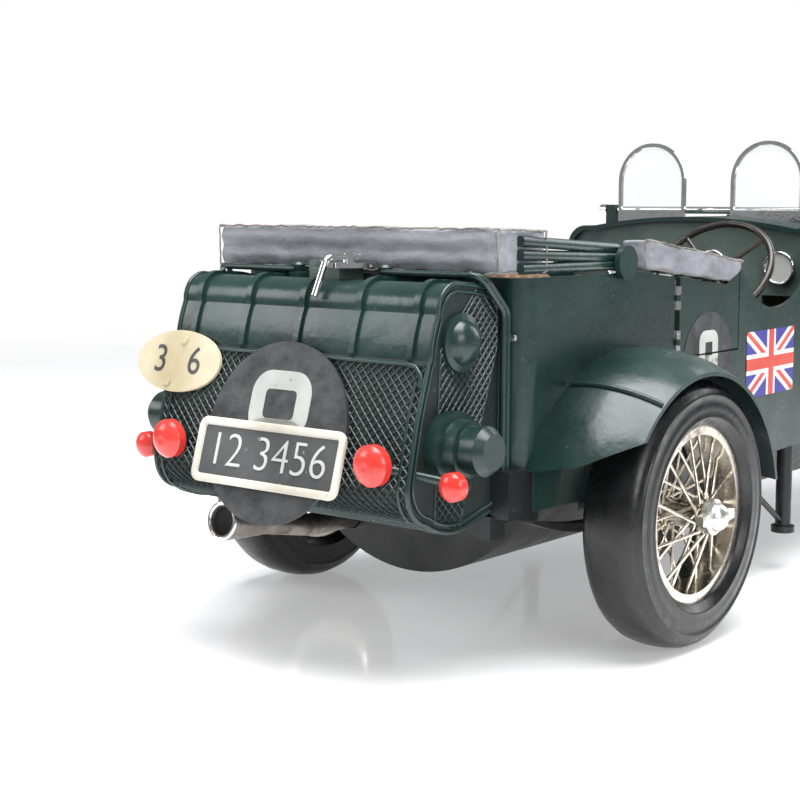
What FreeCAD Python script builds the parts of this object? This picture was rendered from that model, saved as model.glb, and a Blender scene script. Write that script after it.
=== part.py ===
# Open touring car model, 1:12 scale, as an assembly of separate pieces.
# Everything is drawn from the middle of the rear axle's track: x to the car's right, y forwards,
# z up from the ground.  Each piece is then placed so that the origin lies on the ground below the
# middle of the car's length.
import FreeCAD, Part
import math
import os
import re
import Sketcher
from FreeCAD import Placement, Rotation, Vector

SIZES = {
    # layout
    "rear_axle": -100.2, "wheelbase": 250.0, "half_track": 64.3, "axle_height": 35.0,
    "running_gap": 0.05, "side_gap": 0.3, "face_gap": 0.4, "weld": 0.5,
    # tyre, wheel and hub nut
    "tyre_radius": 35.0, "tyre_half": 8.8, "bead_radius": 21.8, "bead_half": 5.4,
    "wall_share": 0.595, "rim_wall": 1.2, "rim_lip": 0.9,
    "hub_radius": 3.6, "hub_back": 5.0, "hub_reach": 9.6,
    "flange_radius": 5.2, "flange_wall": 1.0, "spoke_radius": 0.42,
    "nut_radius": 4.6, "nut_depth": 4.9, "ear_reach": 8.2, "ear_wall": 2.2,
    # axles, brakes and springs
    "tube_radius": 3.0, "stub_radius": 2.0, "drum_radius": 14.0, "drum_back": 53.5,
    "drum_wall": 5.0, "diff_radius": 8.5, "pin_radius": 1.2, "kingpin_x": 50.0,
    "arm_reach": 15.0, "leaf_width": 4.0, "leaf_half": 36.0, "leaf_drop": 4.5, "leaf_stack": 2.6,
    "spring_x": 42.5, "beam_half_height": 1.8, "beam_half_width": 2.0, "tie_radius": 0.8,
    # chassis
    "rail_x": 31.0, "rail_wall": 3.5, "rail_low": 33.0, "rail_high": 43.5, "rail_tail": -46.0,
    "nose_rail_x": 24.0, "nose_low": 41.0, "nose_high": 48.0, "nose_reach": 36.0,
    "pan_half": 40.0, "pan_depth": 23.5, "pan_tail": -30.0, "pan_nose": 205.0, "pan_wall": 1.2,
    "pipe_radius": 3.0, "mouth_radius": 5.0, "mouth_y": -80.0, "mouth_z": 34.2, "pipe_x": -20.8,
    "pipe_z": 27.2, "silencer_radius": 4.5, "silencer_length": 60.0,
    "cross_wall": 6.0, "horn_high": 50.0, "horn_gap": 0.3, "horn_wall": 5.2,
    # body tub
    "body_low": 39.0, "body_top": 96.5, "body_tail": -45.0, "sheet": 1.4, "corner": 6.0,
    "tail_half": 47.5, "side_half": 50.3, "bulkhead_half": 45.5, "bulkhead": 145.0,
    "floor_low": 44.0, "elbow_start": 59.7, "elbow_low": 83.0, "elbow_mid": 82.0,
    "elbow_end": 113.0, "hinge_y": 23.0, "hinge_gap": 1.4, "door_length": 33.8,
    "door_low": 72.5, "door_gap": 0.5, "knuckle_radius": 1.05, "knuckle_half": 0.7,
    "barrel_half": 3.2, "hinge_pin": 0.45, "hinge_high": 88.6, "hinge_lower": 76.6,
    "cowl_start": 118.0, "cowl_base": 97.0, "cowl_shoulder": 105.6, "cowl_top": 109.2,
    "dash_y": 119.5, "dash_wall": 1.5, "dash_low": 84.0,
    # steering wheel
    "wheel_x": 22.5, "wheel_y": 92.7, "wheel_z": 92.1, "wheel_radius": 19.6, "grip_radius": 1.15,
    "column_radius": 1.2, "column_length": 58.0, "column_rake": 40.0, "boss_radius": 3.2,
    # seats and levers
    "seat_half": 17.0, "seat_x": 21.5, "seat_rear": 38.0, "seat_depth": 34.0, "seat_high": 60.0,
    "back_high": 91.0, "back_wall": 7.0, "bench_half": 42.0, "bench_rear": -40.0,
    "bench_depth": 34.0, "lever_radius": 0.9, "knob_radius": 2.2,
    # folded hood
    "hood_half": 46.0, "hood_tail": -54.4, "hood_end": -37.8, "hood_low": 97.2, "hood_top": 108.6,
    "cover_in": 43.5, "cover_out": 52.0, "cover_start": 4.0, "cover_sag": 91.5,
    "cover_rear_low": 96.6, "cover_top": 105.2, "cover_front_top": 97.4, "cover_drop": 50.3,
    "bow_radius": 1.35, "bow_x": 47.9, "bow_end": -8.0, "pivot_y": -5.0, "pivot_z": 99.0,
    "pivot_radius": 4.45, "pivot_wall": 1.6,
    # fenders
    "fender_wall": 1.1, "fender_back": 2.0, "fender_drop": 3.4, "fender_gap": 10.2,
    "fender_out": 74.0, "fender_fall": 4.7, "wing_in": 52.0, "wing_out": 78.0, "wing_gap": 9.0,
    # bonnet, radiator, headlamps
    "bonnet_low": 50.0, "nose_half": 25.0, "nose_shoulder": 90.0, "nose_top": 103.0,
    "radiator_set": 18.0, "radiator_depth": 8.0, "radiator_half": 26.5, "radiator_low": 42.0,
    "radiator_shoulder": 95.0, "radiator_top": 107.0, "radiator_rim": 3.0, "cap_radius": 3.4,
    "lamp_x": 33.5, "lamp_z": 74.0, "lamp_radius": 11.0, "lamp_depth": 12.5, "lamp_wall": 0.9,
    "strap_width": 4.0, "strap_wall": 0.5,
    # screens
    "aero_y": 130.0, "aero_half": 13.1, "aero_base": 109.0, "aero_straight": 121.0,
    "aero_rim": 1.2, "aero_wall": 1.3, "aero_right": 22.3, "aero_left": -21.3,
    "screen_y": 136.5, "screen_z": 111.2, "screen_half": 38.5, "screen_height": 22.0,
    "screen_rim": 1.7, "screen_wall": 1.6, "screen_pin": 0.8, "post_wall": 4.0,
    # tank and what hangs on it
    "tank_half": 42.0, "guard": 0.8, "rib_height": 0.8, "rib_width": 1.8,
    "lean": 16.5, "disc_radius": 22.7, "disc_wall": 1.0, "disc_y": -81.3, "disc_z": 58.7,
    "plate_half": 24.2, "plate_rise": 8.2, "plate_wall": 1.4, "plate_y": -84.4, "plate_z": 53.2,
    "oval_half": 15.2, "oval_rise": 8.1, "oval_wall": 0.8, "oval_x": -38.5, "oval_y": -76.9,
    "oval_z": 73.5, "tail_lamp_x": 33.8, "tail_lamp_y": -84.3, "tail_lamp_z": 54.8,
    "tail_lamp_radius": 4.9, "side_lamp_x": 51.0, "side_lamp_y": -76.3, "side_lamp_z": 50.7,
    "side_lamp_radius": 3.4,
    "neck_x": 2.5, "neck_y": -61.8, "neck_half": 4.6, "neck_top": 98.4,
    "cap_x": 6.7, "cap_disc_radius": 6.2, "cap_disc_wall": 1.2, "breather_x": 14.5,
    "breather_y": -57.5,
    "dome_y": -63.6, "dome_z": 82.0, "dome_radius": 6.9, "filler_y": -68.6, "filler_z": 58.0,
    "filler_radius": 8.6, "filler_end": 14.0, "vent_radius": 0.75,
}
SPOKES = 20
SPOKE_SWING = 54
RIBS = (-36.0, -18.3, 0.0, 18.3, 36.0)
CORNERS = {"rear": "0", "front": "wheelbase"}
SIDES = {"right": 1, "left": -1}

doc = FreeCAD.newDocument("touring_car")
sheet = doc.addObject("Spreadsheet::Sheet", "sizes")
for row, (alias, number) in enumerate(SIZES.items(), 1):
    sheet.set(f"A{row}", alias)
    sheet.set(f"B{row}", str(number))
    sheet.setAlias(f"B{row}", alias)
doc.recompute()
probe = doc.addObject("Part::Vertex", "probe")
nodes = {}


# ---- words to expressions -------------------------------------------------------------------
def link(words):
    """Turn the names of sizes in an expression into references to the sheet."""
    return re.sub(r"[A-Za-z_]\w*", lambda m: "sizes." + m[0] if m[0] in SIZES else m[0], str(words))


def value(words):
    """What an expression comes to now."""
    probe.setExpression("X", link(words))
    probe.recompute()
    return float(probe.X)


def spot(words):
    return Vector(*[value(part) for part in words])


def bind(thing, **properties):
    for name, words in properties.items():
        thing.setExpression(name.replace("__", "."), link(words))
    return thing


def put(thing, x="0", y="0", z="0", turn=None, angle=None):
    """Place an object by expressions; turn is an axis and angle the words for its angle."""
    if turn is not None:
        thing.Placement = Placement(Vector(), Rotation(Vector(*turn), value(angle)))
        bind(thing, Placement__Rotation__Angle=angle)
    return bind(thing, Placement__Base__x=x, Placement__Base__y=y, Placement__Base__z=z)


# ---- sketches and bodies --------------------------------------------------------------------
def outline(body, plane, points, at="0"):
    """A closed sketch.  A point is (u, v), or (mid u, mid v, u, v) where an arc leads to it."""
    face = [feature for feature in body.Origin.OriginFeatures if feature.Role == plane][0]
    sketch = body.newObject("Sketcher::SketchObject", "outline")
    sketch.AttachmentSupport = [(face, "")]
    sketch.MapMode = "FlatFace"
    bind(sketch, AttachmentOffset__Base__z=at)
    ends = [Vector(value(p[-2]), value(p[-1]), 0) for p in points]
    edges, turned_round = [], []
    for i, point in enumerate(points):
        if len(point) == 2:
            edge, clockwise = Part.LineSegment(ends[i - 1], ends[i]), False
        else:
            middle = Vector(value(point[0]), value(point[1]), 0)
            clockwise = (middle - ends[i - 1]).cross(ends[i] - middle).z < 0
            first, last = (ends[i], ends[i - 1]) if clockwise else (ends[i - 1], ends[i])
            edge = Part.Arc(first, middle, last)
        edges.append(sketch.addGeometry(edge, False))
        turned_round.append(clockwise)

    def pin(edge, which, u, v):
        for kind, words in (("DistanceX", u), ("DistanceY", v)):
            rule = Sketcher.Constraint(kind, -1, 1, edge, which, value(words))
            sketch.setExpression(f"Constraints[{sketch.addConstraint(rule)}]", link(words))

    for i, point in enumerate(points):
        following = (i + 1) % len(edges)
        here = 1 if turned_round[i] else 2
        there = 2 if turned_round[following] else 1
        sketch.addConstraint(Sketcher.Constraint("Coincident", edges[i], here, edges[following], there))
        pin(edges[i], here, point[-2], point[-1])
        if len(point) == 4:
            middle = Vector(value(point[0]), value(point[1]), 0)
            dot = sketch.addGeometry(Part.Point(middle), True)
            pin(dot, 1, point[0], point[1])
            sketch.addConstraint(Sketcher.Constraint("PointOnObject", dot, 1, edges[i]))
    return sketch


def slab(name, plane, points, low, high):
    """A flat outline padded from low to high along the plane's own axis."""
    body = doc.addObject("PartDesign::Body", name)
    start = f"-({high})" if plane == "XZ_Plane" else low
    sketch = outline(body, plane, points, start)
    pad = body.newObject("PartDesign::Pad", "pad")
    pad.Profile = sketch
    bind(pad, Length=f"({high})-({low})")
    doc.recompute()
    return body


def turned(name, axis, points):
    """A profile of (along, radius) points turned about the X, Y or Z axis."""
    body = doc.addObject("PartDesign::Body", name)
    if axis == "Z":
        points = [[w for pair in zip(p[1::2], p[0::2]) for w in pair] for p in points]
    sketch = outline(body, {"X": "XY_Plane", "Y": "YZ_Plane", "Z": "XZ_Plane"}[axis], points)
    turn = body.newObject("PartDesign::Revolution", "turn")
    turn.Profile = sketch
    turn.ReferenceAxis = (sketch, ["V_Axis" if axis == "Z" else "H_Axis"])
    doc.recompute()
    return body


def loft(name, near, far):
    """A straight loft between two (distance, outline) sections standing across the car."""
    body = doc.addObject("PartDesign::Body", name)
    first = outline(body, "XZ_Plane", near[1], f"-({near[0]})")
    last = outline(body, "XZ_Plane", far[1], f"-({far[0]})")
    skin = body.newObject("PartDesign::AdditiveLoft", "skin")
    skin.Profile = first
    skin.Sections = [last]
    skin.Ruled = True
    doc.recompute()
    return body


# ---- primitives and booleans ----------------------------------------------------------------
def block(name, x, y, z):
    """A box between two limits along each axis."""
    box = doc.addObject("Part::Box", name)
    for side, (low, high) in zip(("Length", "Width", "Height"), (x, y, z)):
        bind(box, **{side: f"({high})-({low})"})
    return put(box, x[0], y[0], z[0])


def post(name, x, y, low, high, radius):
    """An upright cylinder."""
    drum = doc.addObject("Part::Cylinder", name)
    bind(drum, Radius=radius, Height=f"({high})-({low})")
    return put(drum, x, y, low)


def spindle(name, low, high, y, z, radius):
    """A cylinder lying across the car."""
    drum = doc.addObject("Part::Cylinder", name)
    bind(drum, Radius=radius, Height=f"({high})-({low})")
    return put(drum, low, y, z, (0, 1, 0), "90")


def rod(name, start, end, radius):
    """A round bar between any two points."""
    bar = doc.addObject("Part::Feature", name)
    low, high = spot(start), spot(end)
    bar.Shape = Part.makeCylinder(value(radius), (high - low).Length, low, high - low)
    return bar


def bent_tube(name, points, radius, bend):
    """A round tube along straight runs joined by tangent arcs."""
    route = [spot(point) for point in points]
    edges = []
    here = route[0]
    for before, corner, after in zip(route, route[1:], route[2:]):
        into = (corner - before).normalize()
        out = (after - corner).normalize()
        half = into.getAngle(out) / 2
        reach = value(bend) * math.tan(half)
        enter, leave = corner - into * reach, corner + out * reach
        crown = (out - into).normalize() * (value(bend) / math.cos(half) - value(bend))
        edges.append(Part.LineSegment(here, enter).toShape())
        edges.append(Part.Arc(enter, corner + crown, leave).toShape())
        here = leave
    edges.append(Part.LineSegment(here, route[-1]).toShape())
    spine = Part.Wire(edges)
    ring = Part.Wire([Part.Circle(route[0], route[1] - route[0], value(radius)).toShape()])
    tube = doc.addObject("Part::Feature", name)
    tube.Shape = spine.makePipeShell([ring], True, False)
    return tube


def fuse(name, *pieces):
    joined = doc.addObject("Part::MultiFuse", name)
    joined.Shapes = list(pieces)
    doc.recompute()
    return joined


def common(name, *pieces):
    shared = doc.addObject("Part::MultiCommon", name)
    shared.Shapes = list(pieces)
    doc.recompute()
    return shared


def cut(name, base, *tools):
    """base with every tool taken away."""
    for number, tool in enumerate(tools):
        rest = doc.addObject("Part::Cut", f"{name}_{number}")
        rest.Base = base
        rest.Tool = tool
        base = rest
    doc.recompute()
    return base


def mirror(name, piece):
    """The same piece on the other side of the car."""
    other = doc.addObject("Part::Mirroring", name)
    other.Source = piece
    other.Normal = Vector(1, 0, 0)
    doc.recompute()
    return other


def pair(name, piece):
    return [piece, mirror(name, piece)]


def node(name, *pieces):
    """Name a finished piece and stand it on the ground under the car's own origin."""
    held = doc.addObject("Part::Compound", name)
    held.Links = list(pieces)
    held.Label = name
    nodes[name] = put(held, "0", "rear_axle", "tyre_radius-axle_height")
    return held


def wheel_node(name, piece, side, axle):
    """Place a wheel piece, drawn at the origin with its face to +X, at one corner of the car."""
    held = doc.addObject("Part::Compound", name)
    held.Links = [piece]
    held.Label = name
    turn = "0" if side > 0 else "180"
    nodes[name] = put(held, f"{side}*half_track", f"rear_axle+{axle}", "tyre_radius", (0, 0, 1), turn)


# ---- wheels ---------------------------------------------------------------------------------
def make_tyre():
    bead, lip = "bead_half", "bead_radius+rim_lip+0.2"
    crown, bulge = "tyre_radius-2.2", f"tyre_radius-(tyre_radius-({lip}))*wall_share"
    return turned("tyre", "X", [
        (f"-{bead}", "bead_radius"), (bead, "bead_radius"), (bead, lip),
        ("tyre_half", bulge, "tyre_half-1.4", crown),
        ("0", "tyre_radius", "1.4-tyre_half", crown),
        ("-tyre_half", bulge, f"-{bead}", lip)])


def make_wire_wheel():
    well, lip = "bead_half", "bead_half+rim_lip"
    floor, brim = "bead_radius-rim_wall", "bead_radius+rim_lip"
    rim = turned("rim", "X", [
        (f"-({lip})", floor), (lip, floor), (lip, brim), (well, brim), (well, "bead_radius"),
        (f"-{well}", "bead_radius"), (f"-{well}", brim), (f"-({lip})", brim)])
    bore, front = "stub_radius+running_gap", "hub_reach-flange_wall"
    hub = turned("hub", "X", [
        ("-hub_back", bore), ("hub_reach", bore), ("hub_reach", "flange_radius-0.6"),
        (front, "flange_radius-0.6"), (front, "hub_radius"), ("flange_wall-hub_back", "hub_radius"),
        ("flange_wall-hub_back", "flange_radius"), ("-hub_back", "flange_radius")])
    wires = []
    radius, apart = value("spoke_radius"), value("spoke_radius*1.25")
    rim_end = value("bead_radius-rim_wall/2")
    layers = ((value("hub_reach-flange_wall/2-0.9"), value("hub_radius"), value("bead_half*0.5")),
              (value("flange_wall/2-hub_back+1.4"), value("hub_radius"), value("-bead_half*0.3")))
    for hub_along, hub_out, rim_along in layers:
        for number in range(SPOKES):
            lean = 1 if number % 2 else -1
            at_rim = 2 * math.pi * number / SPOKES
            at_hub = at_rim + lean * math.radians(SPOKE_SWING)
            low = Vector(hub_along + lean * apart, hub_out * math.cos(at_hub),
                         hub_out * math.sin(at_hub))
            high = Vector(rim_along + lean * apart, rim_end * math.cos(at_rim),
                          rim_end * math.sin(at_rim))
            wires.append(Part.makeCylinder(radius, (high - low).Length, low, high - low))
    spokes = doc.addObject("Part::Feature", "spokes")
    spokes.Shape = Part.makeCompound(wires)
    bore_space = spindle("bore_space", "-hub_back-1", "hub_reach+1", "0", "0", bore)
    return cut("wire_wheel", fuse("laced_wheel", rim, hub, spokes), bore_space)


def make_hub_nut():
    dome = turned("nut_dome", "X", [
        ("hub_reach", "0"), ("hub_reach+nut_depth", "0"),
        ("hub_reach+nut_depth*0.86", "nut_radius*0.55", "hub_reach+nut_depth*0.45", "nut_radius*0.8"),
        ("hub_reach+nut_depth*0.35", "nut_radius"), ("hub_reach", "nut_radius")])
    ears = slab("ears", "YZ_Plane", [
        ("-ear_reach", "-1.2"), ("-ear_reach", "1.2"), ("-2", "2.1"), ("2", "2.1"),
        ("ear_reach", "1.2"), ("ear_reach", "-1.2"), ("2", "-2.1"), ("-2", "-2.1")],
        "hub_reach+0.6", "hub_reach+0.6+ear_wall")
    return fuse("hub_nut", dome, ears)


tyre, wire_wheel, hub_nut = make_tyre(), make_wire_wheel(), make_hub_nut()
for end, axle in CORNERS.items():
    for hand, side in SIDES.items():
        wheel_node(f"tyre_{end}_{hand}", tyre, side, axle)
        wheel_node(f"wire_wheel_{end}_{hand}", wire_wheel, side, axle)
        wheel_node(f"hub_nut_{end}_{hand}", hub_nut, side, axle)


# ---- axles and steering ---------------------------------------------------------------------
def make_rear_axle():
    stub_end = "half_track+hub_reach-face_gap"
    tube = spindle("axle_tube", "-drum_back-weld", "drum_back+weld", "0", "axle_height", "tube_radius")
    stub = spindle("axle_stub", f"-({stub_end})", stub_end, "0", "axle_height", "stub_radius")
    drum = spindle("drum", "drum_back", "drum_back+drum_wall", "0", "axle_height", "drum_radius")
    seat = block("spring_seat", ("spring_x-leaf_width/2", "spring_x+leaf_width/2"), ("-3.5", "3.5"),
                 ("axle_height-tube_radius-1", "axle_height"))
    case = turned("case", "X", [("diff_radius", "0"), ("0", "diff_radius", "-diff_radius", "0")])
    put(case, "0", "0", "axle_height")
    return fuse("rear_axle_piece", tube, stub, case, *pair("drums", drum), *pair("seats", seat))


def make_front_axle():
    """The beam, forked at each end around the stub's boss."""
    low, high = "axle_height-beam_half_height", "axle_height+beam_half_height"
    eye = "pin_radius+1.4"
    beam = block("beam", (f"-kingpin_x+{eye}+side_gap", f"kingpin_x-({eye})-side_gap"),
                 ("wheelbase-beam_half_width", "wheelbase+beam_half_width"), (low, high))
    jaw_gap = "beam_half_height+side_gap"
    cheek = f"kingpin_x-({eye})-side_gap-1.4"
    plates = []
    for name, near, far in (("jaw_top", jaw_gap, f"{jaw_gap}+1.4"),
                            ("jaw_low", f"-({jaw_gap})-1.4", f"-({jaw_gap})")):
        ear = post(name, "kingpin_x", "wheelbase", f"axle_height+{near}", f"axle_height+{far}", eye)
        arm = block(name + "_arm", (cheek, "kingpin_x"),
                    ("wheelbase-beam_half_width", "wheelbase+beam_half_width"),
                    (f"axle_height+{near}", f"axle_height+{far}"))
        plates += [ear, arm]
    web = block("jaw_web", (cheek, f"kingpin_x-({eye})-side_gap"),
                ("wheelbase-beam_half_width", "wheelbase+beam_half_width"),
                (f"axle_height-({jaw_gap})-1.4", f"axle_height+{jaw_gap}+1.4"))
    pin = post("kingpin", "kingpin_x", "wheelbase", f"axle_height-({jaw_gap})-2",
               f"axle_height+{jaw_gap}+2", "pin_radius")
    jaw = fuse("jaw", web, pin, *plates)
    return fuse("front_axle_piece", beam, *pair("jaws", jaw))


def make_knuckle():
    """Boss on the kingpin, stub axle, brake drum plate and the arm that runs back to the tie rod."""
    eye = "pin_radius+1.4"
    boss = post("boss", "kingpin_x", "wheelbase", "axle_height-beam_half_height",
                "axle_height+beam_half_height", eye)
    stub = spindle("front_stub", "kingpin_x", "half_track+hub_reach-face_gap", "wheelbase",
                   "axle_height", "stub_radius")
    neck = spindle("front_neck", "kingpin_x+pin_radius+0.6", "drum_back+weld", "wheelbase",
                   "axle_height", "beam_half_height")
    drum = spindle("front_drum", "drum_back", "drum_back+drum_wall", "wheelbase", "axle_height",
                   "drum_radius")
    arm = slab("steering_arm", "XY_Plane", [
        ("kingpin_x-1.2", "wheelbase-1"), ("kingpin_x-3.2", "wheelbase-arm_reach-1.8"),
        ("kingpin_x-5.4", "wheelbase-arm_reach-1.8"), ("kingpin_x-5.4", "wheelbase-arm_reach+1.8"),
        ("kingpin_x-2.4", "wheelbase-2.0")], "axle_height-beam_half_height", "axle_height-0.3")
    bore = post("kingpin_bore", "kingpin_x", "wheelbase", "axle_height-20", "axle_height+20",
                "pin_radius+running_gap")
    return cut("knuckle", fuse("knuckle_blank", boss, stub, neck, drum, arm), bore)


rear_axle = make_rear_axle()
node("rear_axle", rear_axle)
front_axle = make_front_axle()
node("front_axle_beam", front_axle)
knuckle = make_knuckle()
node("steering_knuckle_right", knuckle)
node("steering_knuckle_left", mirror("knuckle_mirror", knuckle))
tie_y, tie_z = "wheelbase-arm_reach", "axle_height-beam_half_height-1.6"
node("tie_rod", spindle("tie_bar", "4.3-kingpin_x", "kingpin_x-4.3", tie_y, tie_z, "tie_radius"))


# ---- chassis --------------------------------------------------------------------------------
def make_frame():
    """Side rails that draw in and step up towards the nose, with cross tubes."""
    inner, nose_inner = "rail_x-rail_wall/2", "nose_rail_x-rail_wall/2"
    nose_end = "wheelbase+nose_reach"
    plan = slab("rail_plan", "XY_Plane", [
        (inner, "rail_tail"), (f"{inner}+rail_wall", "rail_tail"),
        (f"{inner}+rail_wall", "bulkhead-20"), (f"{nose_inner}+rail_wall", "bulkhead+50"),
        (f"{nose_inner}+rail_wall", nose_end), (nose_inner, nose_end),
        (nose_inner, "bulkhead+50"), (inner, "bulkhead-20")], "rail_low-12", "nose_high+2")
    side = slab("rail_side", "YZ_Plane", [
        ("rail_tail", "rail_low"), ("bulkhead+35", "rail_low"), ("wheelbase-38", "nose_low"),
        ("wheelbase+18", "nose_low"), ("wheelbase+28", "nose_low-1", nose_end, "nose_low-5"),
        (nose_end, "nose_low-1.5"), ("wheelbase+26", "nose_high-2", "wheelbase+8", "nose_high"),
        ("wheelbase-40", "nose_high"), ("bulkhead+25", "rail_high"), ("rail_tail", "rail_high")],
        "0", "rail_x+rail_wall")
    rail = common("rail", plan, side)
    tail = block("tail_box", ("-tank_half-0.8", "tank_half+0.8"), ("rail_tail-cross_wall", "rail_tail"),
                 ("rail_low", "body_low-0.2"))
    horn_blank = block("horn_blank", ("tank_half+horn_gap", "tank_half+horn_gap+horn_wall"),
                       ("body_tail-6", "body_tail+4"), ("body_low-0.7", "horn_high"))
    horn = cut("horn", horn_blank, tub_outer)
    cross = [spindle(f"cross_{i}", f"-({x})", x, y, z, "2.4") for i, (x, y, z) in enumerate((
        (inner, "40", "rail_low+5"), (inner, "bulkhead-30", "rail_low+5"),
        (nose_inner, "wheelbase-30", "nose_low+3.5"), (nose_inner, "wheelbase+30", "nose_low-0.5")))]
    tube = spindle("axle_space", "-drum_back", "drum_back", "0", "axle_height", "tube_radius")
    return cut("frame", fuse("frame_blank", tail, *pair("left_rail", rail), *pair("left_horn", horn),
                             *cross), tube)


def make_springs():
    """Bowed stacks of leaves: the rear pair under the axle, the front pair on the beam."""
    half, stack = "leaf_half", "leaf_stack"
    top = "axle_height-tube_radius-1"
    rear = slab("rear_leaves", "YZ_Plane", [
        (f"-{half}", f"{top}+leaf_drop-0.6"), ("0", f"{top}-{stack}", half, f"{top}+leaf_drop-0.6"),
        (half, f"{top}+leaf_drop+0.4"), ("0", top, f"-{half}", f"{top}+leaf_drop+0.4")],
        "spring_x-leaf_width/2", "spring_x+leaf_width/2")
    floor = "axle_height+beam_half_height"
    front = slab("front_leaves", "YZ_Plane", [
        (f"wheelbase-{half}+6", "nose_low-1"),
        ("wheelbase", floor, f"wheelbase+{half}-18", "nose_low-1"),
        (f"wheelbase+{half}-18", "nose_low"),
        ("wheelbase", f"{floor}+{stack}", f"wheelbase-{half}+6", "nose_low")],
        "nose_rail_x-leaf_width/2", "nose_rail_x+leaf_width/2")
    hanger = block("hangers", ("spring_x-leaf_width/2", "spring_x+leaf_width/2"),
                   (f"-{half}-2", f"2-{half}"), (f"{top}+leaf_drop+0.3", "floor_low"))
    hanger_two = block("hangers_front", ("spring_x-leaf_width/2", "spring_x+leaf_width/2"),
                       (f"{half}-2", f"{half}+2"), (f"{top}+leaf_drop+0.3", "floor_low"))
    sprung = cut("rear_spring", fuse("rear_spring_blank", rear, hanger, hanger_two), rear_axle)
    seated = cut("front_spring", front, front_axle)
    return pair("left_rear_spring", sprung) + pair("left_front_spring", seated)


def make_pan():
    """Half-round undertray, closed at its tail."""
    def trough(name, inset, low, high):
        wide, deep = f"pan_half-{inset}", f"pan_depth-{inset}"
        return slab(name, "XZ_Plane", [
            (f"-({wide})", "body_low"), ("0", f"body_low-({deep})", wide, "body_low")], low, high)

    shell = trough("pan_outer", "0", "pan_tail", "pan_nose")
    hollow = trough("pan_inner", "pan_wall", "pan_tail+pan_wall", "pan_nose+1")
    hole = rod("pipe_hole", ("pipe_x", "-50", "pipe_z+1.1"), ("pipe_x", "-10", "pipe_z"),
               "pipe_radius+0.4")
    slot = spindle("pan_axle_slot", "-side_half", "side_half", "0", "axle_height", "tube_radius+0.2")
    return cut("pan", shell, hollow, hole, slot, frame_piece)


def make_exhaust():
    pipe = bent_tube("pipe", [("pipe_x", "mouth_y+11", "mouth_z-2.04"), ("pipe_x", "-48", "pipe_z+1"),
                              ("pipe_x", "-14", "pipe_z"), ("pipe_x", "60", "pipe_z")],
                     "pipe_radius", "14")
    cone = turned("cone", "X", [("0", "0"), ("0", "mouth_radius"), ("1.2", "mouth_radius"),
                                ("14.4", "pipe_radius+0.2"), ("14.4", "0")])
    hollow = turned("cone_space", "X", [("-1", "0"), ("-1", "mouth_radius-1"),
                                        ("8", "pipe_radius-0.6"), ("8", "0")])
    rake = math.degrees(math.atan2(2.6, 14))
    for piece in (cone, hollow):
        piece.Placement = Placement(Vector(), Rotation(Vector(0, 0, 1), 90)
                                    * Rotation(Vector(0, 1, 0), rake))
        put(piece, "pipe_x", "mouth_y", "mouth_z")
    silencer = turned("silencer", "Y", [
        ("0", "0"), ("silencer_length", "0"), ("silencer_length", "silencer_radius-1.5"),
        ("silencer_length-3", "silencer_radius"), ("3", "silencer_radius"),
        ("0", "silencer_radius-1.5")])
    put(silencer, "pipe_x", "58", "pipe_z")
    return cut("exhaust", fuse("exhaust_blank", pipe, cone, silencer), hollow)


def make_step():
    """A round mounting post below each side with a foot plate and a diagonal stay."""
    stem = post("stem", "side_half-3", "97", "14", "body_low", "2.4")
    foot = post("foot", "side_half-3", "97", "12", "14", "3.6")
    stay = rod("stay", ("side_half-3", "97", "14.5"), ("side_half-3", "60", "body_low-1"), "0.9")
    pad = block("stay_pad", ("side_half-5", "side_half-2"), ("57", "63"), ("body_low-2", "body_low"))
    return fuse("step", stem, foot, stay, pad)


node("exhaust_pipe", make_exhaust())
node("mounting_steps", *pair("left_step", make_step()))


# ---- body tub, doors, scuttle ---------------------------------------------------------------
def body_plan(inset):
    """The tub's outline seen from above, drawn in by inset."""
    tail, front = f"body_tail+{inset}", f"bulkhead-{inset}"
    wide, side, nose = f"tail_half-{inset}", f"side_half-{inset}", f"bulkhead_half-{inset}"
    round_in = f"corner-{inset}"
    knee = f"0.2929*({round_in})"
    return [
        (f"{wide}-({round_in})", tail),
        (f"{wide}-{knee}", f"{tail}+{knee}", wide, f"{tail}+{round_in}"),
        (side, "hinge_y", nose, front), (f"-({nose})", front),
        (f"-({side})", "hinge_y", f"-({wide})", f"{tail}+{round_in}"),
        (f"{knee}-({wide})", f"{tail}+{knee}", f"-({wide})+{round_in}", tail)]


def make_walls():
    """The sheet-metal wall of the tub before its doorways are cut."""
    outer = slab("tub_outer", "XY_Plane", body_plan("0"), "body_low", "body_top+20")
    inner = slab("tub_inner", "XY_Plane", body_plan("sheet"), "body_low-1", "body_top+21")
    drop = "side_gap"
    edge = slab("top_edge", "YZ_Plane", [
        ("body_tail-5", "body_low-2"), ("bulkhead+5", "body_low-2"), ("bulkhead+5", "cowl_base"),
        ("elbow_end", "cowl_base"),
        ("(elbow_end+elbow_mid)/2+4", "elbow_low+4.4", "elbow_mid", "elbow_low"),
        ("(elbow_start+elbow_mid)/2-3.4", "elbow_low+4.6", "elbow_start", "cover_sag+3.9"),
        ("cover_drop+8", f"cover_sag+4.1-{drop}"), ("cover_drop", f"cover_sag-{drop}"),
        ("cover_start-0.3", f"cover_rear_low-{drop}"), ("body_tail-5", f"cover_rear_low-{drop}")],
        "-side_half-5", "side_half+5")
    return common("walls", cut("wall_ring", outer, inner), edge), outer, inner


def doorway(name, loose_rear, loose):
    """The space that a door (no looseness) or its opening takes in the right-hand wall."""
    return block(name, ("side_half-8", "side_half+4"),
                 (f"hinge_y+hinge_gap-({loose_rear})", f"hinge_y+hinge_gap+door_length+{loose}"),
                 (f"door_low-({loose})", "body_top+10"))


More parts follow.
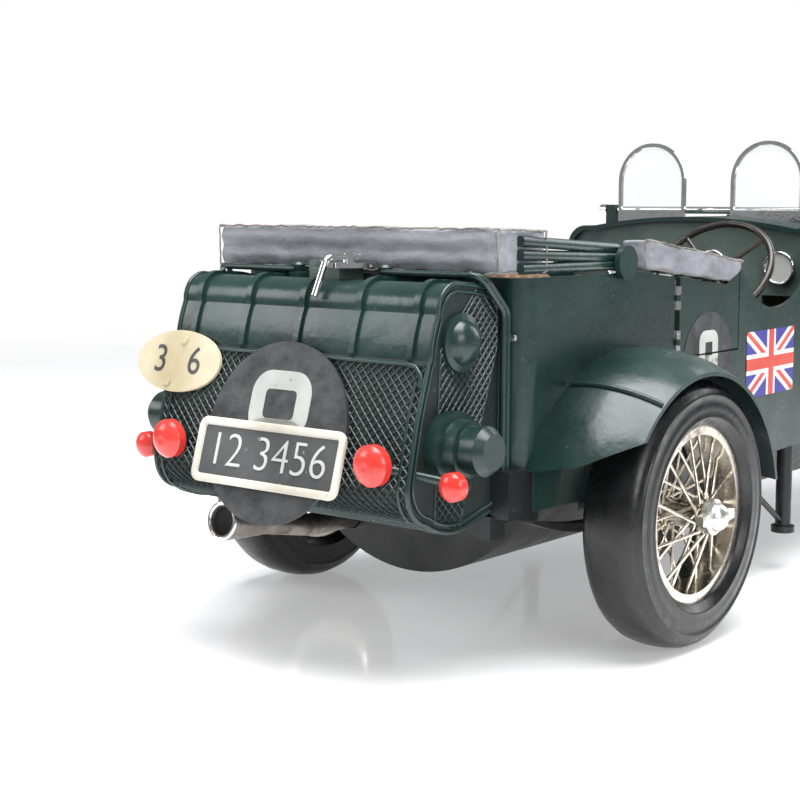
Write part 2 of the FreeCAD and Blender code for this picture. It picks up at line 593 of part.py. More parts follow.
def make_door(walls):
    """A door panel with the middle knuckle of each of its two hinges."""
    parts = [common("door_panel", walls, doorway("door_space", "0", "0"))]
    holes = []
    for number, height in enumerate(("hinge_high", "hinge_lower")):
        low, high = f"{height}-knuckle_half", f"{height}+knuckle_half"
        parts.append(post(f"knuckle_{number}", "side_half", "hinge_y", low, high, "knuckle_radius"))
        parts.append(block(f"door_leaf_{number}", ("side_half-1", "side_half-0.1"),
                           ("hinge_y+0.4", "hinge_y+hinge_gap+0.6"), (low, high)))
        holes.append(post(f"knuckle_hole_{number}", "side_half", "hinge_y", f"{low}-1", f"{high}+1",
                          "hinge_pin+running_gap"))
    return cut("door", fuse("door_blank", *parts), *holes)


def make_door_hinges():
    """Fixed knuckles above and below each door knuckle, on one pin, with a leaf to the wall."""
    parts = []
    for number, height in enumerate(("hinge_high", "hinge_lower")):
        parts.append(post(f"hinge_pin_{number}", "side_half", "hinge_y", f"{height}-barrel_half",
                          f"{height}+barrel_half", "hinge_pin"))
        for sign in (1, -1):
            near = f"{height}+{sign}*(knuckle_half+0.2)"
            far = f"{height}+{sign}*barrel_half"
            low, high = (near, far) if sign > 0 else (far, near)
            parts.append(post(f"barrel_{number}_{sign + 1}", "side_half", "hinge_y", low, high,
                              "knuckle_radius"))
            parts.append(block(f"leaf_{number}_{sign + 1}", ("side_half-1.1", "side_half-0.1"),
                               ("hinge_y-hinge_gap", "hinge_y-0.2"), (low, high)))
    return fuse("hinge", *parts)


walls, tub_outer, tub_inner = make_walls()
frame_piece = make_frame()
node("chassis_frame", frame_piece)
node("leaf_springs", *make_springs())
node("belly_pan", make_pan())
door = make_door(walls)
node("door_right", door)
node("door_left", mirror("door_mirror", door))
node("door_hinges", *pair("hinge_mirror", make_door_hinges()))
opening = doorway("door_opening", "2*hinge_gap", "door_gap")
floor = slab("floor", "XY_Plane", body_plan("sheet-0.2"), "floor_low", "floor_low+sheet")
tub = cut("tub", fuse("tub_blank", walls, floor), *pair("left_opening", opening), frame_piece)
node("body_tub", tub)


def cowl_section(inset, low, width):
    """The arch of the scuttle seen from behind."""
    shoulder, crown = f"cowl_shoulder-{inset}", f"cowl_top-{inset}"
    return [
        (f"-({width})", low), (width, low), (width, "cowl_base+1.2"),
        (f"{width}-1.6", f"{shoulder}-2.2", f"{width}-9", shoulder),
        ("0", crown, f"9-({width})", shoulder),
        (f"1.6-({width})", f"{shoulder}-2.2", f"-({width})", "cowl_base+1.2")]


cowl_outer = slab("cowl_outer", "XZ_Plane", cowl_section("0", "cowl_base", "bulkhead_half+2.2"),
                  "cowl_start", "bulkhead")
cowl_inner = slab("cowl_inner", "XZ_Plane",
                  cowl_section("sheet", "cowl_base-30", "bulkhead_half+2.2-sheet"),
                  "cowl_start-1", "bulkhead-sheet")
scuttle = cut("scuttle_piece", common("scuttle_blank", cowl_outer, tub_outer), cowl_inner)


# ---- steering wheel, dashboard, seats, levers -----------------------------------------------
def on_column(along):
    """A point on the steering column, this far forward of the wheel's centre."""
    return ("wheel_x", f"wheel_y+({along})*cos(column_rake)", f"wheel_z-({along})*sin(column_rake)")


def make_steering_wheel():
    rim = doc.addObject("Part::Torus", "grip")
    bind(rim, Radius1="wheel_radius", Radius2="grip_radius")
    put(rim, "wheel_x", "wheel_y", "wheel_z", (1, 0, 0), "90-column_rake")
    boss = rod("boss_cap", on_column("-1.5"), on_column("3"), "boss_radius")
    column = rod("column", on_column("0"), on_column("column_length"), "column_radius")
    arms = []
    for number in range(4):
        angle = math.radians(45 + 90 * number)
        across = f"wheel_x+wheel_radius*{math.cos(angle)}"
        up = f"wheel_radius*{math.sin(angle)}"
        tip = (across, f"wheel_y+{up}*sin(column_rake)", f"wheel_z+{up}*cos(column_rake)")
        arms.append(rod(f"wheel_arm_{number}", on_column("1"), tip, "0.7"))
    return fuse("steering", rim, boss, column, *arms)


def make_dashboard():
    """Instrument board under the scuttle, with a drop bracket that carries the column."""
    board = block("board", ("-60", "60"), ("dash_y", "dash_y+dash_wall"), ("dash_low", "cowl_top"))
    fitted = common("fitted_board", board, tub_inner, cowl_inner)
    run = "(dash_y-wheel_y)/cos(column_rake)"
    drop_low = f"wheel_z-({run})*sin(column_rake)-4"
    bracket = block("drop_bracket", ("wheel_x-4", "wheel_x+4"), ("dash_y", "dash_y+dash_wall"),
                    (drop_low, "dash_low+weld"))
    dials = [block_dial(number, x) for number, x in enumerate((-27, -9, 9, 33))]
    hole = rod("column_hole", on_column("20"), on_column("column_length"),
               "column_radius+running_gap")
    return cut("dash", fuse("dash_blank", fitted, bracket, *dials), hole)


def block_dial(number, x):
    """A round instrument standing proud of the board."""
    dial = doc.addObject("Part::Cylinder", f"dial_{number}")
    bind(dial, Radius="5.2", Height="1.2+weld")
    return put(dial, str(x), "dash_y+weld", "dash_low+9", (1, 0, 0), "90")


def make_seat(name, half, rear, depth, top):
    """A cushion and a leaning back, drawn from the side."""
    floor_top = "floor_low+sheet"
    return slab(name, "YZ_Plane", [
        (rear, floor_top), (f"{rear}+{depth}", floor_top), (f"{rear}+{depth}", "seat_high-2.5"),
        (f"{rear}+{depth}-2", "seat_high"), (f"{rear}+back_wall+4", "seat_high-1.5"),
        (f"{rear}+back_wall", top), (f"{rear}+back_wall/2", f"{top}+1.6", rear, top)],
        f"-({half})", half)


node("steering_wheel", make_steering_wheel())
node("dashboard", make_dashboard())
seat_shape = make_seat("seat_shape", "seat_half", "seat_rear", "seat_depth", "back_high")
driver_seat = doc.addObject("Part::Compound", "driver_seat")
driver_seat.Links = [seat_shape]
put(driver_seat, "seat_x")
node("front_seats", *pair("passenger_seat", driver_seat))
node("rear_seat", make_seat("bench", "bench_half", "bench_rear", "bench_depth", "back_high+2"))
gear_stick = rod("gear_stick", ("2", "100", "floor_low+sheet"), ("3", "92", "70"), "lever_radius")
gear_knob = put(bind(doc.addObject("Part::Sphere", "gear_knob"), Radius="knob_radius"), "3", "92", "71")
brake_stick = rod("brake_stick", ("42", "100", "floor_low+sheet"), ("43", "86", "74"), "lever_radius")
brake_grip = rod("brake_grip", ("42.7", "90", "65.6"), ("43.2", "83", "80.5"), "1.4")
node("hand_levers", cut("gear", fuse("gear_blank", gear_stick, gear_knob), tub),
     cut("brake", fuse("brake_blank", brake_stick, brake_grip), tub))


# ---- folded hood ----------------------------------------------------------------------------
def make_hood_rear():
    """The folded bundle across the tail."""
    plan = slab("bundle_plan", "XY_Plane", [
        ("-hood_half", "hood_tail"), ("hood_half", "hood_tail"),
        ("side_half-0.2", "hood_end+8"), ("0.2-side_half", "hood_end+8")], "hood_low-2", "hood_top+2")
    side = slab("bundle_side", "YZ_Plane", [
        ("hood_tail", "hood_low"), ("hood_end-7", "hood_low+0.6"), ("hood_end", "hood_top-1.6"),
        ("hood_tail", "hood_top")], "-side_half-2", "side_half+2")
    return common("bundle", plan, side)


def make_hood_cover():
    """The bag over the hood's front end, lying along the right-hand wall and door."""
    return slab("cover", "YZ_Plane", [
        ("cover_start", "cover_rear_low"), ("cover_drop", "cover_sag"),
        ("cover_drop+7.6", "cover_sag+4.1"), ("cover_drop+7.6", "cover_front_top"),
        ("cover_start", "cover_top")], "cover_in", "cover_out")


def make_bows(bundle):
    """Three bow tubes along each side, meeting at a round pivot plate."""
    tubes = []
    for number, (rear_z, front_z) in enumerate((("98.7", "98.4"), ("102.0", "100.4"),
                                                ("105.3", "102.6"))):
        tubes.append(rod(f"bow_{number}", ("bow_x", "hood_end-10", rear_z),
                         ("bow_x", "bow_end+3", front_z), "bow_radius"))
    plate = spindle("pivot_plate", "side_half", "side_half+pivot_wall", "pivot_y", "pivot_z",
                    "pivot_radius")
    bolt = spindle("pivot_bolt", "bow_x-1", "side_half+weld", "pivot_y", "pivot_z", "2.2")
    return cut("bows", fuse("bow_set", plate, bolt, *tubes), bundle)


bundle = make_hood_rear()
node("hood_rear_bundle", bundle)
node("hood_side_covers", *pair("left_cover", make_hood_cover()))
node("hood_bows", *pair("left_bows", make_bows(bundle)))


# ---- fenders --------------------------------------------------------------------------------
def make_fender(name, inner, outer, crown, fall, keep):
    """A crowned band about the wheel, trimmed to the side view in keep."""
    middle = f"(({inner})+({outer}))/2+1.5"
    band = turned(name + "_band", "X", [
        (inner, f"{crown}-fender_wall-0.9"),
        (middle, f"{crown}-fender_wall", outer, f"{crown}-fender_wall-({fall})"),
        (outer, f"{crown}-({fall})"), (middle, crown, inner, f"{crown}-0.9")])
    return band, slab(name + "_side", "YZ_Plane", keep, "0", f"{outer}+10")


def make_rear_fender():
    crown = "tyre_radius+fender_gap"
    band, side = make_fender("rear_fender", "side_half-5", "fender_out", crown, "fender_fall", [
        ("-80", "axle_height+14"), ("-fender_back", "axle_height+9"), ("0", "axle_height+4.5"),
        ("80", "axle_height+4.5"), ("80", "axle_height+60"), ("-80", "axle_height+60")])
    put(band, "0", "-fender_back", "axle_height-fender_drop")
    clip = block("clip", ("side_half-1", "fender_out-16"), ("29.5", "32.5"),
                 ("axle_height+25.2", "axle_height+27.4"))
    hem = slab("fender_hem", "XZ_Plane", [
        ("side_half-8", "axle_height-5"), ("fender_out+5", "axle_height-5"),
        ("fender_out+5", "axle_height+25"), ("fender_out-13", "axle_height+16.5"),
        ("side_half-8", "axle_height+13.4")], "-80", "-30")
    whole = fuse("rear_fender_blank", common("rear_fender_trim", band, side), clip)
    return cut("rear_fender", whole, tub_outer, hem, frame_piece)


def make_front_fender():
    """Cycle fender on two stays that reach out from the chassis rail."""
    crown = "tyre_radius+wing_gap"
    band, side = make_fender("front_fender", "wing_in", "wing_out", crown, "fender_fall-0.7", [
        ("wheelbase-80", "axle_height+9"), ("wheelbase", "axle_height+9"),
        ("wheelbase", "axle_height+21"), ("wheelbase+80", "axle_height+21"),
        ("wheelbase+80", "axle_height+60"), ("wheelbase-80", "axle_height+60")])
    put(band, "0", "wheelbase", "axle_height")
    trim = common("front_fender_trim", band, side)
    stays = [bent_tube(f"fender_stay_{i}", [("nose_rail_x+1", f"wheelbase+({y})", "nose_high-3"),
                                            ("wing_in-6", f"wheelbase+({y})", "nose_high+1"),
                                            ("wing_in+4", f"wheelbase+({y})", z)], "1.0", "6")
             for i, (y, z) in enumerate((("-27", "axle_height+34.2"), ("27", "axle_height+34.2")))]
    return cut("front_fender", fuse("front_fender_blank", trim, *stays), frame_piece)


front_fender = make_front_fender()
node("rear_fenders", *pair("left_rear_fender", make_rear_fender()))
node("front_fenders", *pair("left_front_fender", front_fender))


# ---- bonnet, radiator, headlamps ------------------------------------------------------------
def bonnet_section(half, shoulder, crown, inset):
    """Flat sides under a rounded top, drawn in by inset."""
    wide, knee, top = f"{half}-({inset})", f"{shoulder}-({inset})", f"{crown}-({inset})"
    return [
        (f"-({wide})", "bonnet_low"), (wide, "bonnet_low"), (wide, f"{knee}-7.4"),
        (f"{wide}-1.6", f"{knee}-2.2", f"{wide}-7", knee), ("0", top, f"7-({wide})", knee),
        (f"1.6-({wide})", f"{knee}-2.2", f"-({wide})", f"{knee}-7.4")]


def bonnet_loft(name, inset, near, far):
    return loft(name, (near, bonnet_section("bulkhead_half", "cowl_shoulder", "cowl_top", inset)),
                (far, bonnet_section("nose_half", "nose_shoulder+6", "nose_top", inset)))


radiator_back = "wheelbase-radiator_set"
bonnet_skin = bonnet_loft("bonnet_skin", "0", "bulkhead", radiator_back)
bonnet_space = bonnet_loft("bonnet_space", "sheet", "bulkhead", radiator_back)
node("bonnet", cut("bonnet_piece", bonnet_skin, bonnet_space))
strap_skin = bonnet_loft("strap_skin", "-strap_wall", "bulkhead", radiator_back)
bands = [block(f"band_{i}", ("-60", "60"), (f"{y}", f"{y}+strap_width"), ("bonnet_low", "cowl_top+5"))
         for i, y in enumerate(("bulkhead+20", f"{radiator_back}-18"))]
node("bonnet_straps", cut("straps", common("strap_blank", strap_skin, fuse("bands", *bands)),
                          bonnet_skin))


def radiator_section(inset):
    wide, knee, top = (f"radiator_half-({inset})", f"radiator_shoulder-({inset})",
                       f"radiator_top-({inset})")
    low = f"radiator_low+({inset})"
    return [
        (f"-({wide})", low), (wide, low), (wide, f"{knee}-6"),
        (f"{wide}-1.5", f"{knee}", f"{wide}-6", f"{knee}+4"), ("0", top, f"6-({wide})", f"{knee}+4"),
        (f"1.5-({wide})", f"{knee}", f"-({wide})", f"{knee}-6")]


radiator_front = f"{radiator_back}+radiator_depth"
shell_outer = slab("shell_outer", "XZ_Plane", radiator_section("0"), radiator_back, radiator_front)
shell_space = slab("shell_space", "XZ_Plane", radiator_section("radiator_rim"),
                   f"{radiator_back}-1", f"{radiator_front}+1")
cap_y = f"{radiator_back}+radiator_depth/2"
cap = fuse("cap", post("cap_neck", "0", cap_y, "radiator_top-1", "radiator_top+1.5", "cap_radius-1"),
           post("cap_top", "0", cap_y, "radiator_top+1.2", "radiator_top+3.4", "cap_radius"))
core = slab("core", "XZ_Plane", radiator_section("radiator_rim"), f"{radiator_back}+1",
            f"{radiator_front}-2")
node("radiator_shell", cut("shell", fuse("shell_blank", shell_outer, cap), shell_space, frame_piece))
node("radiator_core", cut("core_piece", core, frame_piece))


def make_headlamp():
    """A bowl whose axis runs forwards, hollow behind its lens."""
    back, wall = "-lamp_depth", "lamp_wall"
    bowl = turned("bowl", "Y", [
        (back, "0"), ("0", "0"), ("0", "lamp_radius"), ("-1.4", "lamp_radius"),
        ("-lamp_depth*0.72", "lamp_radius*0.72", back, "0.8")])
    space = turned("bowl_space", "Y", [
        (f"{back}+2*{wall}", "0"), ("1", "0"), ("1", f"lamp_radius-{wall}"),
        ("-1.4", f"lamp_radius-{wall}"),
        (f"-lamp_depth*0.72+{wall}", f"lamp_radius*0.72-{wall}", f"{back}+2*{wall}", "0.5")])
    lens = turned("lens", "Y", [("-0.6", "0"), ("1.2", "0"),
                                ("0.8", "lamp_radius*0.55", "-0.1", f"lamp_radius-{wall}"),
                                ("-0.6", f"lamp_radius-{wall}")])
    for piece in (bowl, space, lens):
        put(piece, "lamp_x", f"{radiator_front}+lamp_depth-1", "lamp_z")
    return cut("lamp_bowl", bowl, space), lens


bowl, lens = make_headlamp()
node("headlamp_bowls", *pair("left_bowl", bowl))
node("headlamp_lenses", *pair("left_lens", lens))
lamp_y = f"{radiator_front}+lamp_depth*0.5-1"
lamp_arm = bent_tube("lamp_arm", [
    ("nose_rail_x", lamp_y, "nose_high-0.5"), ("lamp_x", lamp_y, "nose_high+8"),
    ("lamp_x", lamp_y, "lamp_z-lamp_radius*0.86")], "1.3", "4")
lamp_tie = spindle("lamp_tie", "-lamp_x+lamp_radius*0.2", "lamp_x-lamp_radius*0.2", lamp_y,
                   "lamp_z-lamp_radius-1.5", "1.0")
lamp_mount = cut("lamp_mount", fuse("lamp_mount_blank", lamp_tie, *pair("left_lamp_arm", lamp_arm)),
                 *pair("bowl_core", bowl), *pair("lens_core", lens), frame_piece)
node("headlamp_mounts", lamp_mount)


# ---- screens --------------------------------------------------------------------------------
def arch(name, centre, inset, low):
    """An upright pane outline: straight sides under a half-round top."""
    half = f"aero_half-({inset})"
    return slab(name, "XZ_Plane", [
        (f"{centre}-({half})", low), (f"{centre}+({half})", low),
        (f"{centre}+({half})", "aero_straight"),
        (centre, f"aero_straight+({half})", f"{centre}-({half})", "aero_straight")],
        f"aero_y-aero_wall/2+{inset}*0.3", f"aero_y+aero_wall/2-{inset}*0.3")


aero_frames, aero_panes = [], []
for hand, centre in (("right", "aero_right"), ("left", "aero_left")):
    whole = arch(f"aero_whole_{hand}", centre, "0", "aero_base-6")
    pane = arch(f"aero_pane_{hand}", centre, "aero_rim", "aero_base+2.2")
    space = block(f"aero_space_{hand}",
                  (f"{centre}-aero_half+aero_rim", f"{centre}+aero_half-aero_rim"),
                  ("aero_y-5", "aero_y+5"), ("aero_base+2.2", "aero_straight"))
    top_space = slab(f"aero_top_{hand}", "XZ_Plane", [
        (f"{centre}-aero_half+aero_rim", "aero_straight-1"),
        (f"{centre}+aero_half-aero_rim", "aero_straight-1"),
        (f"{centre}+aero_half-aero_rim", "aero_straight"),
        (centre, "aero_straight+aero_half-aero_rim", f"{centre}-aero_half+aero_rim", "aero_straight")],
        "aero_y-5", "aero_y+5")
    aero_frames.append(cut(f"aero_frame_{hand}", whole, space, top_space, cowl_outer))
    aero_panes.append(pane)
node("aero_screen_frames", *aero_frames)
node("aero_screen_panes", *aero_panes)


def make_windscreen():
    """The main screen, folded flat over the bonnet on two pivot posts."""
    inner, edge = "screen_half-screen_rim", "screen_y+screen_height"
    low, high = "screen_z-screen_wall/2", "screen_z+screen_wall/2"
    sheet_metal = block("screen_ring", ("-screen_half", "screen_half"), ("screen_y", edge), (low, high))
    hole = block("screen_hole", (f"-({inner})", inner), ("screen_y+screen_rim", f"{edge}-screen_rim"),
                 ("screen_z-5", "screen_z+5"))
    bar = spindle("screen_bar", "-screen_half", "screen_half", "screen_y", "screen_z", "1.2")
    knob_in = "screen_half+side_gap+post_wall+side_gap"
    pin = spindle("screen_pin_bar", f"-({knob_in})-1", f"{knob_in}+1", "screen_y", "screen_z",
                  "screen_pin")
    knob = spindle("screen_knob", knob_in, f"{knob_in}+2.6", "screen_y", "screen_z", "1.9")
    frame = fuse("screen_frame", cut("screen_edge", sheet_metal, hole), bar, pin,
                 *pair("left_knob", knob))
    pane = block("screen_pane", (f"-({inner})", inner), ("screen_y+screen_rim", f"{edge}-screen_rim"),
                 ("screen_z-0.4", "screen_z+0.4"))
    stand = block("screen_stand", ("screen_half+side_gap", "screen_half+side_gap+post_wall"),
                  ("screen_y-1.8", "screen_y+1.8"), ("cowl_base+1", "screen_z+1.8"))
    bore = spindle("screen_bore", "-60", "60", "screen_y", "screen_z", "screen_pin+running_gap")
    posts = [cut(f"screen_post_{i}", piece, bore, cowl_outer)
             for i, piece in enumerate(pair("left_stand", stand))]
    return frame, pane, posts


frame, pane, posts = make_windscreen()
node("windscreen_frame", frame)
node("windscreen_pane", pane)
node("scuttle", scuttle, *posts)


# ---- tank -----------------------------------------------------------------------------------
def tank_section(inset):
    """The tank seen from its end: round top, a crease, a leaning back and a round bottom."""
    return [
        ("-47", "48.5+guard"), ("-47.2", "66", "-46.6", "83.9"), ("-46.4", "89.5", "-49.4", "93.2"),
        ("-56", "94.8", "-63.4", "95.6"), ("-69.2", "94.2", "-71.4", "88.9"),
        ("-73.3", "83.8", "-74.4", "78.3"), (f"{inset}-74.9", "77.8"), (f"{inset}-79", "65.5"),
        (f"{inset}-82.6", "50.3"),
        (f"{inset}-81.6", f"44.6+({inset})", f"{inset}-76.2", f"40.6+({inset})"),
        ("-68", f"37.6+({inset})", "-59", f"38.4+({inset})"),
        ("-50.4", f"40.2+({inset})"), ("-47.4", f"43.4+({inset})")]


tank_body = slab("tank_body", "YZ_Plane", tank_section("guard"), "guard-tank_half", "tank_half-guard")
tank_space = slab("tank_space", "YZ_Plane", [
    ("-49.5", "52"), ("-49.5", "88"), ("-60", "92.8"), ("-67.6", "90.5"), ("-71.5", "77"),
    ("-78.8", "51"), ("-75.5", "44.5"), ("-60", "42.2")], "3-tank_half", "tank_half-3")
ribs = []
for number, x in enumerate(RIBS):
    hoop = slab(f"rib_{number}", "YZ_Plane", [
        ("-52", "90"), ("-52", "94.2+rib_height"),
        ("-56.5", "95.2+rib_height", "-63.4", "95.6+rib_height"),
        ("-69.8", "94.6+rib_height*0.7", "-71.4-rib_height", "88.9"),
        ("-73.3-rib_height", "83.8", "-74.4-rib_height", "79"), ("-72", "79"), ("-68", "88")],
        f"{x}-rib_width/2", f"{x}+rib_width/2")
    ribs.append(hoop)
tank = cut("tank_piece", fuse("tank_blank", tank_body, *ribs), tank_space)
node("petrol_tank", tank)
guard_blank = slab("guard_blank", "YZ_Plane", tank_section("0"), "-tank_half", "tank_half")
node("stone_guard", cut("guard_piece", guard_blank, tank_body, *ribs))


def leaning(name, x, y, z, pieces):
    """Turn pieces drawn facing -Y at the origin to the tank's lean and put them in place."""
    held = doc.addObject("Part::Compound", name)
    held.Links = pieces
    return put(held, x, y, z, (1, 0, 0), "-lean")


disc = turned("disc_round", "Y", [("0", "0"), ("0", "disc_radius"), ("-disc_wall", "disc_radius"),
                                  ("-disc_wall", "0")])
number_disc = leaning("disc_leaning", "0", "disc_y", "disc_z", [disc])
node("number_disc", cut("disc_piece", number_disc, guard_blank, tank))
tray = block("tray", ("-plate_half", "plate_half"), ("-plate_wall", "0"), ("-plate_rise", "plate_rise"))
recess = block("recess", ("1.6-plate_half", "plate_half-1.6"), ("-plate_wall-1", "0.6-plate_wall"),
               ("1.6-plate_rise", "plate_rise-1.6"))
plate = leaning("plate_leaning", "0", "plate_y", "plate_z", [cut("tray_cut", tray, recess)])
node("number_plate", plate)
oval = doc.addObject("Part::Feature", "oval")
ellipse = Part.Ellipse(Vector(), value("oval_half"), value("oval_rise"))
oval.Shape = Part.Face(Part.Wire(ellipse.toShape())).extrude(Vector(0, 0, value("oval_wall")))
oval.Placement = Placement(Vector(), Rotation(Vector(1, 0, 0), 90))
rivets = []
for i, (x, z) in enumerate((("1.2", "5.6"), ("-2.4", "-5.6"))):
    rivet = bind(doc.addObject("Part::Cylinder", f"rivet_{i}"), Radius="1.1", Height="oval_wall+0.5")
    rivets.append(put(rivet, x, "0", z, (1, 0, 0), "90"))
badge = leaning("oval_leaning", "oval_x", "oval_y", "oval_z", [fuse("oval_set", oval, *rivets)])
node("oval_plate", cut("oval_piece", badge, tank))


def make_tail_lamps():
    """Round red lenses: a large pair on the tank's back and a small pair outboard."""
    big = turned("big_lens", "Y", [
        ("0", "0"), ("0", "tail_lamp_radius"), ("-2.2", "tail_lamp_radius"),
        ("-3.6", "tail_lamp_radius*0.7", "-4.2", "0.5"), ("-4.2", "0")])
    put(big, "tail_lamp_x", "tail_lamp_y", "tail_lamp_z")
    small = turned("small_lens", "Y", [
        ("0", "0"), ("0", "side_lamp_radius"), ("-2.2", "side_lamp_radius"),
        ("-3.2", "side_lamp_radius*0.7", "-3.8", "0.5"), ("-3.8", "0")])
    put(small, "side_lamp_x", "side_lamp_y", "side_lamp_z")
    return big, small


def make_lamp_brackets():
    housing = turned("housing", "Y", [("0", "0"), ("5", "0"), ("5", "tail_lamp_radius*0.62"),
                                      ("0.2", "tail_lamp_radius*0.8"), ("0", "tail_lamp_radius*0.8")])
    put(housing, "tail_lamp_x", "tail_lamp_y", "tail_lamp_z")
    cup = turned("cup", "Y", [("0", "0"), ("3.4", "0"), ("3.4", "side_lamp_radius*0.5"),
                              ("0", "side_lamp_radius*0.86")])
    put(cup, "side_lamp_x", "side_lamp_y", "side_lamp_z")
    arm = rod("lamp_bracket", ("tail_lamp_x+2.5", "tail_lamp_y+1.9", "tail_lamp_z-1"),
              ("side_lamp_x", "side_lamp_y+1.6", "side_lamp_z"), "1.1")
    return cut("lamp_holder", fuse("lamp_holder_blank", housing, cup, arm), guard_blank)


big_lens, small_lens = make_tail_lamps()
holder = cut("clear_holder", make_lamp_brackets(), big_lens, small_lens)
node("tail_lamp_brackets", *pair("left_holder", holder))
node("tail_lamps", *pair("left_big_lens", big_lens))
node("side_lamps", *pair("left_small_lens", small_lens))


def make_filler():
    """Square neck with hinge ears on its left; the cap and its lever swing up and over."""
    neck = block("neck", ("neck_x-neck_half", "neck_x+neck_half"),
                 ("neck_y-neck_half", "neck_y+neck_half"), ("90", "neck_top"))
    ear_x, ear_z = "neck_x-neck_half-1.1", "neck_top+0.8"
    ears = [block(f"neck_ear_{i}", (f"{ear_x}-1", "neck_x-neck_half+0.5"),
                  (f"neck_y+({y})-0.6", f"neck_y+({y})+0.6"), ("neck_top-3", f"{ear_z}+1"))
            for i, y in enumerate((-2.4, 2.4))]
    pin = rod("cap_pin", (ear_x, "neck_y-3", ear_z), (ear_x, "neck_y+3", ear_z), "0.5")
    seat = cut("neck_set", fuse("neck_blank", neck, pin, *ears), tank)
    lid_low, lid_high = "neck_top+0.15", "neck_top+0.15+cap_disc_wall"
    lid = post("lid", "cap_x", "neck_y", lid_low, lid_high, "cap_disc_radius")
    tongue = block("tongue", (ear_x, "cap_x-cap_disc_radius+2"), ("neck_y-1.4", "neck_y+1.4"),
                   (lid_low, lid_high))
    eye = rod("cap_eye", (ear_x, "neck_y-1.4", ear_z), (ear_x, "neck_y+1.4", ear_z), "1.0")
    eye_hole = rod("cap_eye_hole", (ear_x, "neck_y-5", ear_z), (ear_x, "neck_y+5", ear_z),
                   "0.5+running_gap")
    lever = bent_tube("cap_lever", [("cap_x+0.2", "neck_y+3.5", "neck_top+2.7"),
                                    ("cap_x-1", "neck_y-7.6", "neck_top+2.7"),
                                    ("cap_x-1.8", "neck_y-11.2", "neck_top-6.5")], "0.85", "2.4")
    stem = post("lever_stem", "cap_x", "neck_y", "neck_top+0.8", "neck_top+3.9", "1.6")
    cap_set = cut("cap_set", fuse("cap_blank", lid, tongue, eye, lever, stem), eye_hole)
    return seat, cap_set


neck, filler_cap = make_filler()
node("filler_neck", neck)
node("filler_cap", filler_cap)


def make_breather():
    """Twin vent tubes from a knob on the tank's top, down the front of its end."""
    tubes = []
    for number, shift in enumerate((0.0, 2.2)):
        top = f"95.6+vent_radius+rib_height+{0.2 + 0.1 * number}"
        run, front = f"breather_y+1-{shift}", f"-45.9-{shift}"
        end_x = f"tank_half+1.2+{0.4 * number}"
        tubes.append(bent_tube(f"vent_{number}", [
            ("breather_x", run, top), (end_x, f"{run}+1", top), (end_x, front, "88.5"),
            (end_x, front, "50")], "vent_radius", "3.2"))
    knob = turned("breather_knob", "Z", [
        ("94", "0"), ("94", "2.6"), ("96.6", "2.6"), ("96.8", "1.6"), ("98.6", "1.9"), ("99.2", "1.2"),
        ("99.2", "0")])
    put(knob, "breather_x", "breather_y")
    return cut("breather", fuse("breather_blank", knob, *tubes), tank_body, *ribs)


node("vent_pipes", *pair("left_vents", make_breather()))


def make_end_fittings():
    """A domed boss and a stepped cap on the end of the tank."""
    dome = turned("dome", "X", [
        ("0", "0"), ("0", "dome_radius"), ("1.2", "dome_radius"), ("1.6", "dome_radius*0.78"),
        ("3.6", "dome_radius*0.55", "4.6", "0")])
    put(dome, "tank_half", "dome_y", "dome_z")
    cap_piece = turned("stepped_cap", "X", [
        ("0", "0"), ("0", "filler_radius"), ("3.6", "filler_radius"), ("3.8", "filler_radius*0.8"),
        ("7", "filler_radius*0.78"), ("7.2", "filler_radius*0.66"),
        ("filler_end-2", "filler_radius*0.68"), ("filler_end", "filler_radius*0.5"),
        ("filler_end", "0")])
    put(cap_piece, "tank_half", "filler_y", "filler_z")
    return fuse("end_fitting", dome, cap_piece)


node("tank_end_fittings", *pair("left_fitting", make_end_fittings()))


# ---- check and write ------------------------------------------------------------------------
doc.recompute()
for thing in doc.Objects:
    if "Invalid" in thing.State or "Error" in thing.State:
        owner = thing.getParentGeoFeatureGroup() or thing
        raise SystemExit(f"{thing.Label} of {owner.Label} did not build: {thing.getStatusString()}")
for name, thing in nodes.items():
    if thing.Shape.isNull() or not thing.Shape.isValid() or not thing.Shape.Solids:
        raise SystemExit(f"{name} has no good shape")
os.makedirs("parts", exist_ok=True)
for name, thing in nodes.items():
    thing.Shape.exportStep(f"parts/{name}.step")
print(len(nodes), "pieces written")
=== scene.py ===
# %% [markdown]
# # An open touring car model in satin green
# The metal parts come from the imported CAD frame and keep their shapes. This lesson gives them
# their finishes, and adds what only shows close up: the woven stone guard, the cloth hood, the
# hide seats, the painted figures and the fittings. Lengths are in metres; one millimetre is MM.

# %% Load the frame
import bpy, bmesh, math
from mathutils import Matrix, Vector, noise
from mathutils.bvhtree import BVHTree


